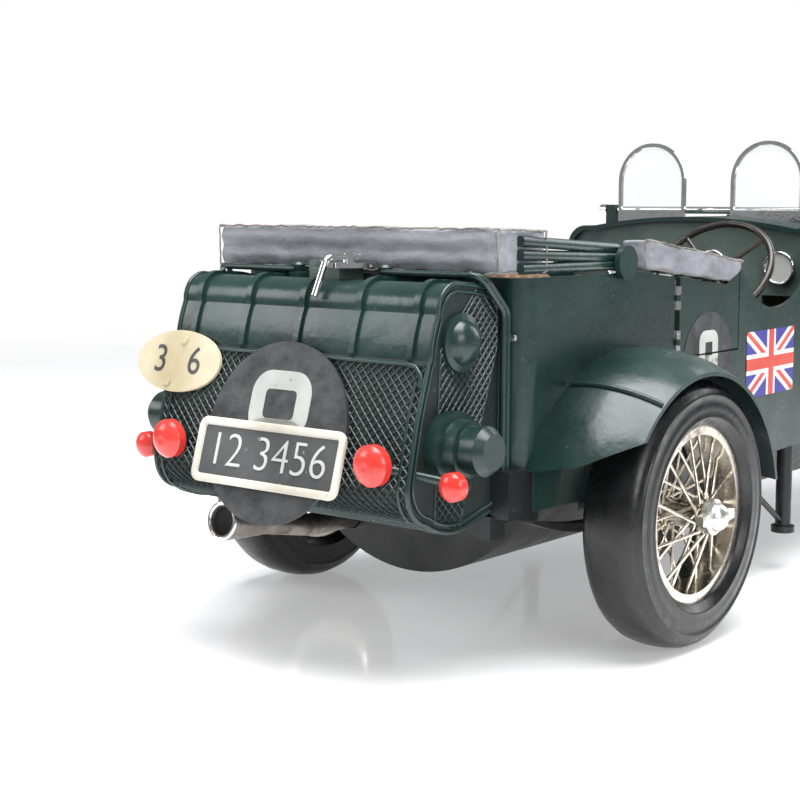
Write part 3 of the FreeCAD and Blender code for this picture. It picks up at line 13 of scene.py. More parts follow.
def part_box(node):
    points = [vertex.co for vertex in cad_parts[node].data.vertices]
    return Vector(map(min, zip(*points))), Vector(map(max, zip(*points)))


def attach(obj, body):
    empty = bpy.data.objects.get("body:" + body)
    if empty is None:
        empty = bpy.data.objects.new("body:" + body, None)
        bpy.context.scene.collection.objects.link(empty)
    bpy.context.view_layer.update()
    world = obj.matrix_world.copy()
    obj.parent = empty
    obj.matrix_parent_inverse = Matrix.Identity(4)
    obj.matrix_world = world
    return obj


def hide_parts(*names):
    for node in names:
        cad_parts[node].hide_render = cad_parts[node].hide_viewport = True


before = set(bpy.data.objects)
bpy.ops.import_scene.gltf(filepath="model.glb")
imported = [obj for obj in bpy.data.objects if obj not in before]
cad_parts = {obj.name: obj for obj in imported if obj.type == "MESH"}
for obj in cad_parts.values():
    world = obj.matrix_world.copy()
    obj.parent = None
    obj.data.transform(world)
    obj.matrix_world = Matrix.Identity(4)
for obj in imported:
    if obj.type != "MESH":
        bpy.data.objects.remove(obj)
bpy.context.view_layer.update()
MM = 0.001
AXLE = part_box("rear_axle")
REAR = (AXLE[0][1] + AXLE[1][1]) / 2
CAR = "car"
print("rear axle line at y =", round(REAR, 4), "and", len(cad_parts), "nodes")

# %% [markdown]
# ## Camera, floor and light
# The camera stands low behind the right-hand rear wheel. The floor is pale and slightly glossy, so
# a tyre leaves a soft reflection. Big soft lamps above and at the sides give satin paint its broad
# grey highlights, and a pale world fills the shadows. The camera sees the world as plain white, while
# the light it gives is weaker, and the floor fades out before its edge.

# %% Camera
lens = bpy.data.cameras.new("lens")
lens.lens, lens.sensor_width = 72.9, 36
lens.clip_start = 0.01
camera = bpy.data.objects.new("camera", lens)
bpy.context.collection.objects.link(camera)
camera.location = (269.9 * MM, -364.0 * MM + REAR, 115.7 * MM)
camera.rotation_euler = (math.radians(90 - 7.14), 0, math.radians(39.29))
bpy.context.scene.camera = camera
bpy.context.scene.view_settings.view_transform = "Standard"
print("camera at", [round(v, 3) for v in camera.location])


# %% Node helpers
def new_material(name):
    """A material with its surface shader, ready for more nodes."""
    material = bpy.data.materials.new(name)
    material.use_nodes = True
    tree = material.node_tree
    return material, tree, tree.nodes["Principled BSDF"]


def add(tree, kind, **settings):
    """One node, with plain settings, and socket values where the name is a socket."""
    node = tree.nodes.new(kind)
    for name, setting in settings.items():
        if hasattr(node, name):
            setattr(node, name, setting)
        else:
            node.inputs[name.replace("_", " ")].default_value = setting
    return node


def noise_at(tree, scale, detail=3.0, rough=0.55, stretch=(1, 1, 1)):
    """Noise on object coordinates; scale is in features per metre."""
    place = add(tree, "ShaderNodeTexCoord")
    mapping = add(tree, "ShaderNodeMapping")
    mapping.inputs["Scale"].default_value = stretch
    tree.links.new(place.outputs["Object"], mapping.inputs["Vector"])
    cloud = add(tree, "ShaderNodeTexNoise", Scale=scale, Detail=detail, Roughness=rough)
    tree.links.new(mapping.outputs["Vector"], cloud.inputs["Vector"])
    return cloud.outputs["Fac"]


def ramp(tree, source, low, high, first=(0, 0, 0), last=(1, 1, 1)):
    """Turn a field into a blend between two colours."""
    strip = add(tree, "ShaderNodeValToRGB")
    strip.color_ramp.elements[0].position = low
    strip.color_ramp.elements[1].position = high
    strip.color_ramp.elements[0].color = (*first, 1)
    strip.color_ramp.elements[1].color = (*last, 1)
    tree.links.new(source, strip.inputs["Fac"])
    return strip.outputs["Color"]


def blend_in(tree, mask, under, over):
    """over shows where the mask is white; both are colours or node outputs."""
    mix = add(tree, "ShaderNodeMix", data_type="RGBA")
    tree.links.new(mask, mix.inputs["Factor"])
    for socket, colour in ((mix.inputs["A"], under), (mix.inputs["B"], over)):
        if isinstance(colour, tuple):
            socket.default_value = (*colour, 1)
        else:
            tree.links.new(colour, socket)
    return mix.outputs["Result"]


def raise_by(tree, shader, *layers):
    """Bump from several (field, depth in metres) layers, one on another."""
    last = None
    for field, depth in layers:
        bump = add(tree, "ShaderNodeBump", Distance=depth)
        tree.links.new(field, bump.inputs["Height"])
        if last:
            tree.links.new(last.outputs["Normal"], bump.inputs["Normal"])
        last = bump
    tree.links.new(last.outputs["Normal"], shader.inputs["Normal"])


print("node helpers ready")

# %% [markdown]
# ## Brushed-on satin paint
# The body is sheet metal painted by hand. Satin paint has a broad soft highlight, a faint orange
# peel, cloudy changes of shade, and tiny specks of dirt and bare spots. One helper makes every
# painted finish, so the green, the black and the grey read as the same hand's work.


# %% Painted metal
def paint(name, shade, light, rough=(0.3, 0.46), peel=0.06, speck=(0.06, 0.08, 0.072), specks=0.735,
          coat=0.0):
    """Cloudy satin paint between two shades, with peel and sparse specks."""
    material, tree, shader = new_material(name)
    cloud = ramp(tree, noise_at(tree, 38, 4), 0.35, 0.68, shade, light)
    mask = ramp(tree, noise_at(tree, 620, 2, 0.4), specks, specks + 0.03)
    tree.links.new(blend_in(tree, mask, cloud, speck), shader.inputs["Base Color"])
    tone = ramp(tree, noise_at(tree, 90, 5), 0.3, 0.75, (rough[0],) * 3, (rough[1],) * 3)
    tree.links.new(tone, shader.inputs["Roughness"])
    shader.inputs["Coat Weight"].default_value = coat
    raise_by(tree, shader, (noise_at(tree, 480, 2), peel * MM), (noise_at(tree, 110, 3), 2 * peel * MM))
    return material


green = paint("satin green paint", (0.0065, 0.0225, 0.0195), (0.0125, 0.039, 0.034), (0.24, 0.4), 0.07,
              coat=0.12)
# The guard's solid behind the wire nets is a near-black copy of the body green: painted shade, so the
# gaps between the wires read dark.
guard_painted_shade = paint("guard backing painted as shade", (0.004, 0.008, 0.007), (0.008, 0.016, 0.014), (0.5, 0.7))
black = paint("chassis black", (0.004, 0.0043, 0.0048), (0.010, 0.0105, 0.0115), (0.34, 0.55), 0.08)
grey_green = paint("weathered grey green", (0.045, 0.07, 0.062), (0.11, 0.15, 0.135))
ivory = paint("old ivory enamel", (0.46, 0.38, 0.22), (0.72, 0.66, 0.49), (0.25, 0.45), 0.04,
              (0.42, 0.32, 0.18), 0.735)
frame_white = paint("chipped cream enamel", (0.50, 0.46, 0.38), (0.80, 0.78, 0.72), (0.3, 0.5), 0.06,
                    (0.42, 0.35, 0.26), 0.735)
field_grey = paint("dark plate field", (0.040, 0.042, 0.043), (0.10, 0.105, 0.105), (0.45, 0.7), 0.09,
                   (0.2, 0.2, 0.2), 0.73)
figure_white = paint("brushed white figures", (0.42, 0.43, 0.40), (0.70, 0.71, 0.68), (0.4, 0.6), 0.05,
                     (0.25, 0.25, 0.22), 0.73)
figure_dark = paint("dark figure paint", (0.03, 0.03, 0.03), (0.10, 0.10, 0.095), (0.4, 0.6), 0.04)
green_mesh = paint("worn mesh paint", (0.011, 0.030, 0.026), (0.040, 0.072, 0.064), (0.24, 0.4), 0.03,
                   (0.12, 0.15, 0.14), 0.72)
lamp_red = paint("lamp red enamel", (0.60, 0.030, 0.022), (0.74, 0.055, 0.042), (0.2, 0.34), 0.03,
                 (0.42, 0.02, 0.02), 0.7, 0.35)
flag_blue = paint("painted blue", (0.035, 0.03, 0.26), (0.06, 0.055, 0.36), (0.35, 0.5), 0.03)
flag_white = paint("painted white", (0.66, 0.64, 0.66), (0.86, 0.84, 0.85), (0.35, 0.5), 0.03)
flag_red = paint("painted red", (0.56, 0.05, 0.035), (0.72, 0.11, 0.07), (0.35, 0.5), 0.03)
print("painted finishes:", len([m for m in bpy.data.materials if m.use_nodes]))

# %% [markdown]
# ## Bare metals
# Plated and cast metal differ in how sharp their reflections are and in how much grime sits in
# them. The helper darkens and roughens the metal where the noise says grime collects.


# %% Bright metal
def metal(name, clean, grime, rough=(0.16, 0.45), amount=(0.5, 0.72), grain=0.03):
    """Metal with grime in cloudy patches."""
    material, tree, shader = new_material(name)
    shader.inputs["Metallic"].default_value = 1.0
    mask = ramp(tree, noise_at(tree, 170, 5, 0.62), *amount)
    tree.links.new(blend_in(tree, mask, clean, grime), shader.inputs["Base Color"])
    tone = blend_in(tree, mask, (rough[0],) * 3, (rough[1],) * 3)
    tree.links.new(tone, shader.inputs["Roughness"])
    raise_by(tree, shader, (noise_at(tree, 900, 2), grain * MM))
    return material


wire_metal = metal("champagne nickel", (0.80, 0.75, 0.66), (0.30, 0.26, 0.20), (0.2, 0.5))
bright = metal("bright plate", (0.88, 0.87, 0.85), (0.42, 0.38, 0.33), (0.08, 0.35), (0.56, 0.75))
cast = metal("satin cast metal", (0.78, 0.77, 0.74), (0.40, 0.38, 0.35), (0.32, 0.55), (0.48, 0.7), 0.08)
burnt = metal("heat stained pipe", (0.52, 0.47, 0.42), (0.16, 0.12, 0.10), (0.3, 0.6), (0.4, 0.7),
              0.08)
print("metals ready")

# %% [markdown]
# ## Rubber, hide, cloth, glass, and soot with painted shade
# Rubber is nearly black with a dull sheen and moulding dust. Hide has a cell grain. The hood is
# painted cloth: grey, scuffed, with a fine weave and dark speckles. Glass is thin and clear. The
# plug in the exhaust's mouth is near black: soot, and painted shade where the pipe is hollow.


# %% Rubber, and soot with painted shade
def dull(name, shade, light, rough, grain, depth):
    """A dry, dull finish with a fine grain."""
    material, tree, shader = new_material(name)
    tree.links.new(ramp(tree, noise_at(tree, 140, 5, 0.65), 0.35, 0.7, shade, light),
                   shader.inputs["Base Color"])
    tone = ramp(tree, noise_at(tree, 260, 4), 0.3, 0.7, (rough[0],) * 3, (rough[1],) * 3)
    tree.links.new(tone, shader.inputs["Roughness"])
    raise_by(tree, shader, (noise_at(tree, grain, 3), depth * MM))
    return material


rubber = dull("tyre rubber", (0.003, 0.003, 0.0033), (0.007, 0.007, 0.0075), (0.22, 0.4), 700, 0.05)
# A near-black plug for the exhaust's mouth: soot, and painted shade standing in for the pipe's hollow.
soot_and_painted_shade = dull("soot_and_painted_shade", (0.004, 0.004, 0.004), (0.012, 0.011, 0.010), (0.8, 0.95), 900, 0.1)
disc_black = dull("brushed black disc", (0.016, 0.017, 0.018), (0.075, 0.078, 0.080), (0.38, 0.62),
                  420, 0.2)
binding = dull("frayed binding", (0.11, 0.095, 0.08), (0.36, 0.335, 0.30), (0.75, 0.95), 1500, 0.3)
wood_dark = dull("dark wheel rim", (0.012, 0.009, 0.009), (0.035, 0.026, 0.024), (0.16, 0.34),
                 300, 0.02)
print("dull finishes ready")


# %% Hide
def hide_finish(name, shade, light):
    """Leather: cells for the grain, and a worn lighter colour on broad patches."""
    material, tree, shader = new_material(name)
    tree.links.new(ramp(tree, noise_at(tree, 70, 4), 0.35, 0.72, shade, light),
                   shader.inputs["Base Color"])
    place = add(tree, "ShaderNodeTexCoord")
    cells = add(tree, "ShaderNodeTexVoronoi", feature="DISTANCE_TO_EDGE", Scale=1500.0)
    tree.links.new(place.outputs["Object"], cells.inputs["Vector"])
    tone = ramp(tree, noise_at(tree, 160, 3), 0.3, 0.7, (0.38,) * 3, (0.6,) * 3)
    tree.links.new(tone, shader.inputs["Roughness"])
    raise_by(tree, shader, (cells.outputs["Distance"], 0.12 * MM), (noise_at(tree, 220, 3), 0.15 * MM))
    return material


hide = hide_finish("aged brown hide", (0.055, 0.026, 0.014), (0.17, 0.088, 0.045))
print("hide ready")


# %% Hood cloth
def cloth_finish(name, shade, light, dirt):
    """Painted cloth: a fine square weave, scuffs in cloudy patches and dark speckles."""
    material, tree, shader = new_material(name)
    cloud = ramp(tree, noise_at(tree, 55, 6, 0.7, (0.5, 1.5, 3)), 0.32, 0.72, shade, light)
    stains = ramp(tree, noise_at(tree, 85, 6, 0.72), 0.58, 0.74)
    speckle = ramp(tree, noise_at(tree, 1700, 2), 0.66, 0.7)
    worn = blend_in(tree, stains, cloud, dirt)
    tree.links.new(blend_in(tree, speckle, worn, (0.13, 0.14, 0.15)), shader.inputs["Base Color"])
    tone = ramp(tree, noise_at(tree, 120, 4), 0.3, 0.7, (0.42,) * 3, (0.72,) * 3)
    tree.links.new(tone, shader.inputs["Roughness"])
    place = add(tree, "ShaderNodeTexCoord")
    weft = []
    for direction in ("X", "Y"):
        wave = add(tree, "ShaderNodeTexWave", bands_direction=direction, Scale=520.0, Distortion=1.2)
        tree.links.new(place.outputs["Object"], wave.inputs["Vector"])
        weft.append((wave.outputs["Fac"], 0.035 * MM))
    raise_by(tree, shader, *weft, (noise_at(tree, 150, 5), 0.5 * MM))
    return material


hood_cloth = cloth_finish("painted hood cloth", (0.16, 0.17, 0.19), (0.36, 0.37, 0.405),
                          (0.17, 0.165, 0.16))
print("hood cloth ready")


# %% Glass
def clear_finish():
    """Thin clear glass with faint dust."""
    material, tree, shader = new_material("clear glass")
    shader.inputs["Alpha"].default_value = 0.14
    shader.inputs["IOR"].default_value = 1.45
    tree.links.new(ramp(tree, noise_at(tree, 60, 4), 0.3, 0.8, (0.93, 0.95, 0.95), (1, 1, 1)),
                   shader.inputs["Base Color"])
    tree.links.new(ramp(tree, noise_at(tree, 200, 4), 0.3, 0.8, (0.01,) * 3, (0.08,) * 3),
                   shader.inputs["Roughness"])
    return material


glass = clear_finish()
print("glass ready")

# %% [markdown]
# ## Finishes on the CAD nodes
# A CAD node keeps its mesh and only its material slot changes. A table of finishes by node name is
# easier to read than many single lines, and a wheel's pieces share one entry for all four corners.

# %% Give each CAD node its finish
FINISHES = {
    green: ("body_tub", "door_left", "door_right", "scuttle", "bonnet", "petrol_tank", "rear_fenders",
            "front_fenders", "hood_bows", "vent_pipes", "tank_end_fittings", "tail_lamp_brackets"),
    # The guard's solid backing carries the painted shade seen through the nets.
    guard_painted_shade: ("stone_guard",),
    black: ("chassis_frame", "leaf_springs", "belly_pan", "mounting_steps", "rear_axle",
            "front_axle_beam", "steering_knuckle_left", "steering_knuckle_right", "tie_rod",
            "radiator_core", "headlamp_mounts"),
    disc_black: ("number_disc",),
    bright: ("radiator_shell", "headlamp_bowls", "aero_screen_frames", "windscreen_frame",
             "door_hinges", "filler_cap", "hand_levers"),
    burnt: ("exhaust_pipe",),
    grey_green: ("filler_neck", "dashboard"),
    wood_dark: ("steering_wheel",),
    hide: ("front_seats", "rear_seat", "bonnet_straps"),
    hood_cloth: ("hood_rear_bundle", "hood_side_covers"),
    glass: ("aero_screen_panes", "windscreen_pane", "headlamp_lenses"),
    ivory: ("oval_plate",),
    frame_white: ("number_plate",),
    lamp_red: ("tail_lamps", "side_lamps"),
}
CORNERS = [(end, hand) for end in ("rear", "front") for hand in ("right", "left")]
FINISHES[wire_metal] = tuple(f"wire_wheel_{end}_{hand}" for end, hand in CORNERS)
FINISHES[cast] = tuple(f"hub_nut_{end}_{hand}" for end, hand in CORNERS)
FINISHES[rubber] = tuple(f"tyre_{end}_{hand}" for end, hand in CORNERS)
for finish, names in FINISHES.items():
    for name in names:
        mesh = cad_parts[name].data
        mesh.materials.clear()
        mesh.materials.append(finish)
print("finished", sum(len(names) for names in FINISHES.values()), "CAD nodes")

# %% Floor, lamps and world
bpy.ops.object.select_all(action="DESELECT")
bpy.ops.mesh.primitive_plane_add(size=4, location=(0, 0, 0))
floor = bpy.context.object
floor.name = "studio_floor"
floor_finish, tree, shader = new_material("pale glossy floor")
tree.links.new(ramp(tree, noise_at(tree, 3, 3), 0.2, 0.8, (0.86, 0.86, 0.87), (0.93, 0.93, 0.935)),
               shader.inputs["Base Color"])
tree.links.new(ramp(tree, noise_at(tree, 9, 4), 0.2, 0.8, (0.07,) * 3, (0.13,) * 3),
               shader.inputs["Roughness"])
shader.inputs["Emission Color"].default_value = (1, 1, 1, 1)
shader.inputs["Emission Strength"].default_value = 0.3
place = add(tree, "ShaderNodeTexCoord")
distance = add(tree, "ShaderNodeVectorMath", operation="LENGTH")
tree.links.new(place.outputs["Object"], distance.inputs[0])
edge = add(tree, "ShaderNodeMapRange", interpolation_type="SMOOTHSTEP")
edge.inputs["From Min"].default_value, edge.inputs["From Max"].default_value = 0.42, 0.95
tree.links.new(distance.outputs["Value"], edge.inputs["Value"])
clear = add(tree, "ShaderNodeBsdfTransparent")
fade = add(tree, "ShaderNodeMixShader")
tree.links.new(edge.outputs["Result"], fade.inputs["Fac"])
tree.links.new(shader.outputs["BSDF"], fade.inputs[1])
tree.links.new(clear.outputs["BSDF"], fade.inputs[2])
tree.links.new(fade.outputs["Shader"], tree.nodes["Material Output"].inputs["Surface"])
floor.data.materials.append(floor_finish)


def lamp(name, place, aim, size, power):
    """A square area lamp that looks at a point."""
    light = bpy.data.lights.new(name, "AREA")
    light.size, light.energy = size, power
    holder = bpy.data.objects.new(name, light)
    bpy.context.collection.objects.link(holder)
    holder.location = place
    holder.rotation_euler = (Vector(aim) - Vector(place)).to_track_quat("-Z", "Y").to_euler()
    return holder


lamp("lamp_above", (0.1, -0.15, 0.95), (0, 0, 0.05), 0.8, 19.0)
lamp("lamp_right", (0.95, -0.55, 0.5), (0, -0.05, 0.06), 0.5, 4.0)
lamp("lamp_left", (-0.8, -0.8, 0.6), (0, -0.05, 0.06), 0.5, 3.5)
lamp("lamp_front", (0.3, 1.1, 0.6), (0, 0.05, 0.05), 0.8, 6.0)
world = bpy.data.worlds.new("studio")
bpy.context.scene.world = world
world.use_nodes = True
tree = world.node_tree
seen = tree.nodes["Background"]
seen.inputs["Strength"].default_value = 1.0
seen.inputs["Color"].default_value = (1, 1, 1, 1)
fill = add(tree, "ShaderNodeBackground", Color=(0.93, 0.96, 1.0, 1), Strength=0.27)
path = add(tree, "ShaderNodeLightPath")
chosen = add(tree, "ShaderNodeMixShader")
tree.links.new(path.outputs["Is Camera Ray"], chosen.inputs["Fac"])
tree.links.new(fill.outputs["Background"], chosen.inputs[1])
tree.links.new(seen.outputs["Background"], chosen.inputs[2])
tree.links.new(chosen.outputs["Shader"], tree.nodes["World Output"].inputs["Surface"])
print("stage set")

# %% [markdown]
# ## Helpers for making pieces
# Every new piece ends the same way: its place goes into its mesh, it gets a finish, it says which
# body carries it, and its smooth areas shade smoothly. Tubes are curves with a round section, made
# into meshes.


# %% Settle a finished piece
def alone(piece):
    """Select one object only, so that operators act on nothing else."""
    bpy.ops.object.select_all(action="DESELECT")
    piece.select_set(True)
    bpy.context.view_layer.objects.active = piece


def settle(piece, name, finish, body=CAR, angle=35):
    """Name, finish, place and hang a finished piece."""
    alone(piece)
    if piece.type != "MESH":
        bpy.ops.object.convert(target="MESH")
        piece = bpy.context.object
    bpy.ops.object.transform_apply(location=True, rotation=True, scale=True)
    piece.name = name
    piece.data.materials.clear()
    piece.data.materials.append(finish)
    bpy.ops.object.shade_smooth_by_angle(angle=math.radians(angle))
    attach(piece, body)
    return piece


def tidy_normals(piece):
    """Merge doubled points and turn the faces outwards."""
    alone(piece)
    bpy.ops.object.mode_set(mode="EDIT")
    bpy.ops.mesh.select_all(action="SELECT")
    bpy.ops.mesh.remove_doubles(threshold=1e-6)
    bpy.ops.mesh.normals_make_consistent(inside=False)
    bpy.ops.object.mode_set(mode="OBJECT")
    return piece


def apply_modifier(piece, kind, **settings):
    alone(piece)
    modifier = piece.modifiers.new(kind, kind)
    for name, setting in settings.items():
        setattr(modifier, name, setting)
    bpy.ops.object.modifier_apply(modifier=modifier.name)
    return piece


def join(pieces):
    alone(pieces[0])
    for piece in pieces:
        piece.select_set(True)
    bpy.ops.object.join()
    return bpy.context.object


def mm(x, y, z):
    """A place in the frame, from millimetres measured off the rear axle line."""
    return Vector((x * MM, y * MM + REAR, z * MM))


def tube(points, radius, closed=False, flat=1.0, sides=3):
    """A round tube through points in millimetres; flat is not used."""
    curve = bpy.data.curves.new("tube", "CURVE")
    curve.dimensions, curve.bevel_depth, curve.bevel_resolution = "3D", radius * MM, sides
    curve.use_fill_caps = not closed
    line = curve.splines.new("POLY")
    line.points.add(len(points) - 1)
    for knot, point in zip(line.points, points):
        knot.co = (*mm(*point), 1)
    line.use_cyclic_u = closed
    piece = bpy.data.objects.new("tube", curve)
    bpy.context.collection.objects.link(piece)
    alone(piece)
    bpy.ops.object.convert(target="MESH")
    return bpy.context.object


def arc(a, mid, b, count=8):
    """Points on the circle through three flat points, after a and up to b."""
    (ax, ay), (mx, my), (bx, by) = a, mid, b
    d = 2 * (ax * (my - by) + mx * (by - ay) + bx * (ay - my))
    ux = ((ax**2 + ay**2) * (my - by) + (mx**2 + my**2) * (by - ay) + (bx**2 + by**2) * (ay - my)) / d
    uy = ((ax**2 + ay**2) * (bx - mx) + (mx**2 + my**2) * (ax - bx) + (bx**2 + by**2) * (mx - ax)) / d
    radius = math.hypot(ax - ux, ay - uy)
    first, half, last = (math.atan2(v - uy, u - ux) for u, v in (a, mid, b))
    turn = 2 * math.pi
    sweep = (last - first) % turn
    if (half - first) % turn > sweep:
        sweep -= turn
    return [(ux + radius * math.cos(first + sweep * i / count),
             uy + radius * math.sin(first + sweep * i / count)) for i in range(1, count + 1)]


print("piece helpers ready")

# %% [markdown]
# ## The woven stone guard
# The lower tank is wrapped in a diamond net of wire with a bead around its edges. The net starts as
# a flat grid turned by 45 degrees, is trimmed by straight cuts, is bent around the tank's back, and
# only then do its edges become wires. That keeps the diamonds even, as in real bent mesh.

# %% The guard's line around the back of the tank
def path_of(corners):
    """A section line from points and arcs."""
    line = [corners[0]]
    for corner in corners[1:]:
        line += [corner] if len(corner) == 2 else arc(line[-1], corner[:2], corner[2:])
    return line


BACK = path_of([(-75.1, 77.4), (-79.0, 65.5), (-82.6, 50.3), (-81.6, 44.6, -76.2, 40.6),
                (-68, 37.6, -59, 38.4), (-50.6, 40.2)])
RUNS = [0.0]
for (ay, az), (by, bz) in zip(BACK, BACK[1:]):
    RUNS.append(RUNS[-1] + math.hypot(by - ay, bz - az))


def on_back(along, proud):
    """The point of the guard's back at a distance along its line, a little proud of it."""
    along = min(max(along, 0.0), RUNS[-1] - 1e-6)
    step = max(i for i, run in enumerate(RUNS[:-1]) if run <= along)
    (ay, az), (by, bz) = BACK[step], BACK[step + 1]
    length = RUNS[step + 1] - RUNS[step]
    share = (along - RUNS[step]) / length
    out_y, out_z = (bz - az) / length, -(by - ay) / length
    return ay + (by - ay) * share + out_y * proud, az + (bz - az) * share + out_z * proud


print("guard line", round(RUNS[-1], 1), "mm")


# %% A trimmed diamond net
def net(size, pitch, cuts):
    """A flat grid turned by 45 degrees and cut by (point, outward) lines, in millimetres."""
    count = int(size * 1.45 / pitch)
    bpy.ops.object.select_all(action="DESELECT")
    bpy.ops.mesh.primitive_grid_add(x_subdivisions=count, y_subdivisions=count, size=count * pitch)
    piece = bpy.context.object
    bpy.ops.object.mode_set(mode="EDIT")
    bpy.ops.mesh.select_all(action="SELECT")
    bpy.ops.transform.rotate(value=math.radians(45), orient_axis="Z", center_override=(0, 0, 0))
    for (u, v), (out_u, out_v) in cuts:
        bpy.ops.mesh.select_all(action="SELECT")
        bpy.ops.mesh.bisect(plane_co=(u, v, 0), plane_no=(out_u, out_v, 0), clear_outer=True)
    bpy.ops.object.mode_set(mode="OBJECT")
    return piece


def wires(piece, thickness=0.5):
    """Turn a net's edges into wires."""
    return apply_modifier(piece, "WIREFRAME", thickness=thickness * MM, use_boundary=True,
                          use_even_offset=False)


PITCH, GUARD_HALF = 1.72, 41.6
half_run = RUNS[-1] / 2
back_net = net(94, PITCH, [((GUARD_HALF, 0), (1, 0)), ((-GUARD_HALF, 0), (-1, 0)),
                           ((0, half_run), (0, 1)), ((0, -half_run), (0, -1))])
for vertex in back_net.data.vertices:
    across, along = vertex.co.x, half_run - vertex.co.y
    y, z = on_back(along, 0.18)
    vertex.co = mm(across, y, z)
settle(wires(back_net), "guard_net_back", green_mesh, angle=30)
print("back net faces", len(back_net.data.polygons))

# %% Nets over the two ends
SECTION = path_of([(-47, 49.3), (-47.2, 66, -46.6, 83.9), (-46.4, 89.5, -49.4, 93.2),
                   (-56, 94.8, -63.4, 95.6), (-69.2, 94.2, -71.4, 88.9), (-73.3, 83.8, -74.4, 78.3),
                   (-74.9, 77.8), (-79, 65.5), (-82.6, 50.3), (-81.6, 44.6, -76.2, 40.6),
                   (-68, 37.6, -59, 38.4), (-50.4, 40.2), (-47.4, 43.4)])
MIDDLE = (-62.0, 66.0)


def outward_cuts(line, middle, inset):
    """Half-planes along a closed line, each facing away from its middle."""
    cuts = []
    for (ay, az), (by, bz) in zip(line, line[1:] + line[:1]):
        out = Vector((bz - az, ay - by)).normalized()
        if out.dot(Vector((ay - middle[0], az - middle[1]))) < 0:
            out = -out
        cuts.append(((ay - middle[0] - out.x * inset, az - middle[1] - out.y * inset), tuple(out)))
    return cuts


def end_net(side, name):
    piece = net(62, PITCH, outward_cuts(SECTION, MIDDLE, 0.9))
    for vertex in piece.data.vertices:
        vertex.co = mm(side * 42.15, vertex.co.x + MIDDLE[0], vertex.co.y + MIDDLE[1])
    return settle(wires(piece), name, green_mesh, angle=30)


for side, name in ((1, "guard_net_right"), (-1, "guard_net_left")):
    print(name, len(end_net(side, name).data.polygons), "faces")

# %% Beads around the guard
beads = []
for side in (1, -1):
    beads.append(tube([(side * 41.9, y, z) for y, z in SECTION], 0.62, closed=True))
    inner = [(MIDDLE[0] + (y - MIDDLE[0]) * 0.93, MIDDLE[1] + (z - MIDDLE[1]) * 0.94)
             for y, z in SECTION]
    beads.append(tube([(side * 42.25, y, z) for y, z in inner], 0.38, closed=True))
    edge = [(side * 39.4, *on_back(along, 0.3)) for along in range(4, int(RUNS[-1]) - 2, 2)]
    beads.append(tube(edge, 0.4))
corner = [(41.3, 5.5), (40.6, 2.4), (38.6, 0.5), (35.5, 0.0)]
crease = [(u, *on_back(v, 0.35)) for u, v in corner]
crease += [(-u, y, z) for u, y, z in reversed(crease)]
beads.append(tube(crease, 0.55))
settle(join(beads), "guard_beads", green, angle=60)
print("beads joined from", len(beads), "tubes")

# %% [markdown]
# ## Painted figures and plates
# Figures are thin raised shapes. A ring with rounded corners makes a round-shouldered figure eight;
# type gives the small digits. Each is drawn flat and then laid on its plate, which leans back with
# the tank.

# %% Draw flat, then lean
LEAN = math.radians(16.5)


def leaning(x, y, z, proud):
    """The matrix that lays a flat drawing (u right, v up, w out) on the tank's leaning back."""
    up = Vector((0, math.sin(LEAN), math.cos(LEAN)))
    out = Vector((0, -math.cos(LEAN), math.sin(LEAN)))
    spin = Matrix((Vector((1, 0, 0)), up, out)).transposed().to_4x4()
    return Matrix.Translation(mm(x, y, z) + out * proud * MM) @ spin


def lay(piece, matrix):
    """Put a flat drawing in its place for good."""
    piece.data.transform(matrix)
    return piece


def rounded_panel(width, height, corner, depth):
    """A flat panel with rounded corners, its face at w = depth, in millimetres."""
    bpy.ops.object.select_all(action="DESELECT")
    bpy.ops.mesh.primitive_plane_add(size=1)
    piece = bpy.context.object
    piece.scale = (width * MM, height * MM, 1)
    bpy.ops.object.transform_apply(location=False, rotation=False, scale=True)
    bpy.ops.object.mode_set(mode="EDIT")
    bpy.ops.mesh.select_all(action="SELECT")
    bpy.ops.mesh.bevel(offset=corner * MM, segments=7, affect="VERTICES")
    bpy.ops.mesh.extrude_region_move(TRANSFORM_OT_translate={"value": (0, 0, depth * MM)})
    bpy.ops.mesh.select_all(action="SELECT")
    bpy.ops.mesh.normals_make_consistent(inside=False)
    bpy.ops.object.mode_set(mode="OBJECT")
    return piece


def top_faces(piece):
    """Enter edit mode with only the faces that look out along w selected."""
    alone(piece)
    bpy.ops.object.mode_set(mode="EDIT")
    bpy.ops.mesh.select_mode(type="FACE")
    bpy.ops.mesh.select_all(action="DESELECT")
    bpy.ops.object.mode_set(mode="OBJECT")
    highest = max(vertex.co.z for vertex in piece.data.vertices)
    for face in piece.data.polygons:
        face.select = face.normal.z > 0.9 and face.center.z > highest - 1e-5
    bpy.ops.object.mode_set(mode="EDIT")


def ring_figure(width, height, corner, stroke, depth):
    """A rounded frame: half of a figure eight."""
    piece = rounded_panel(width, height, corner, depth)
    top_faces(piece)
    bpy.ops.mesh.inset(thickness=stroke * MM)
    bpy.ops.mesh.delete(type="FACE")
    bpy.ops.object.mode_set(mode="OBJECT")
    for face in piece.data.polygons:
        face.select = face.normal.z < -0.9
    bpy.ops.object.mode_set(mode="EDIT")
    bpy.ops.mesh.delete(type="FACE")
    bpy.ops.object.mode_set(mode="OBJECT")
    return piece


def figure_eight(width, height, stroke, depth):
    """Two rounded frames, one above the other, sharing their middle bar."""
    half = (height + stroke) / 2
    halves = []
    for lift in (1, -1):
        piece = ring_figure(width, half, width * 0.3, stroke, depth)
        piece.data.transform(Matrix.Translation((0, lift * (height - half) / 2 * MM, 0)))
        halves.append(piece)
    return join(halves)


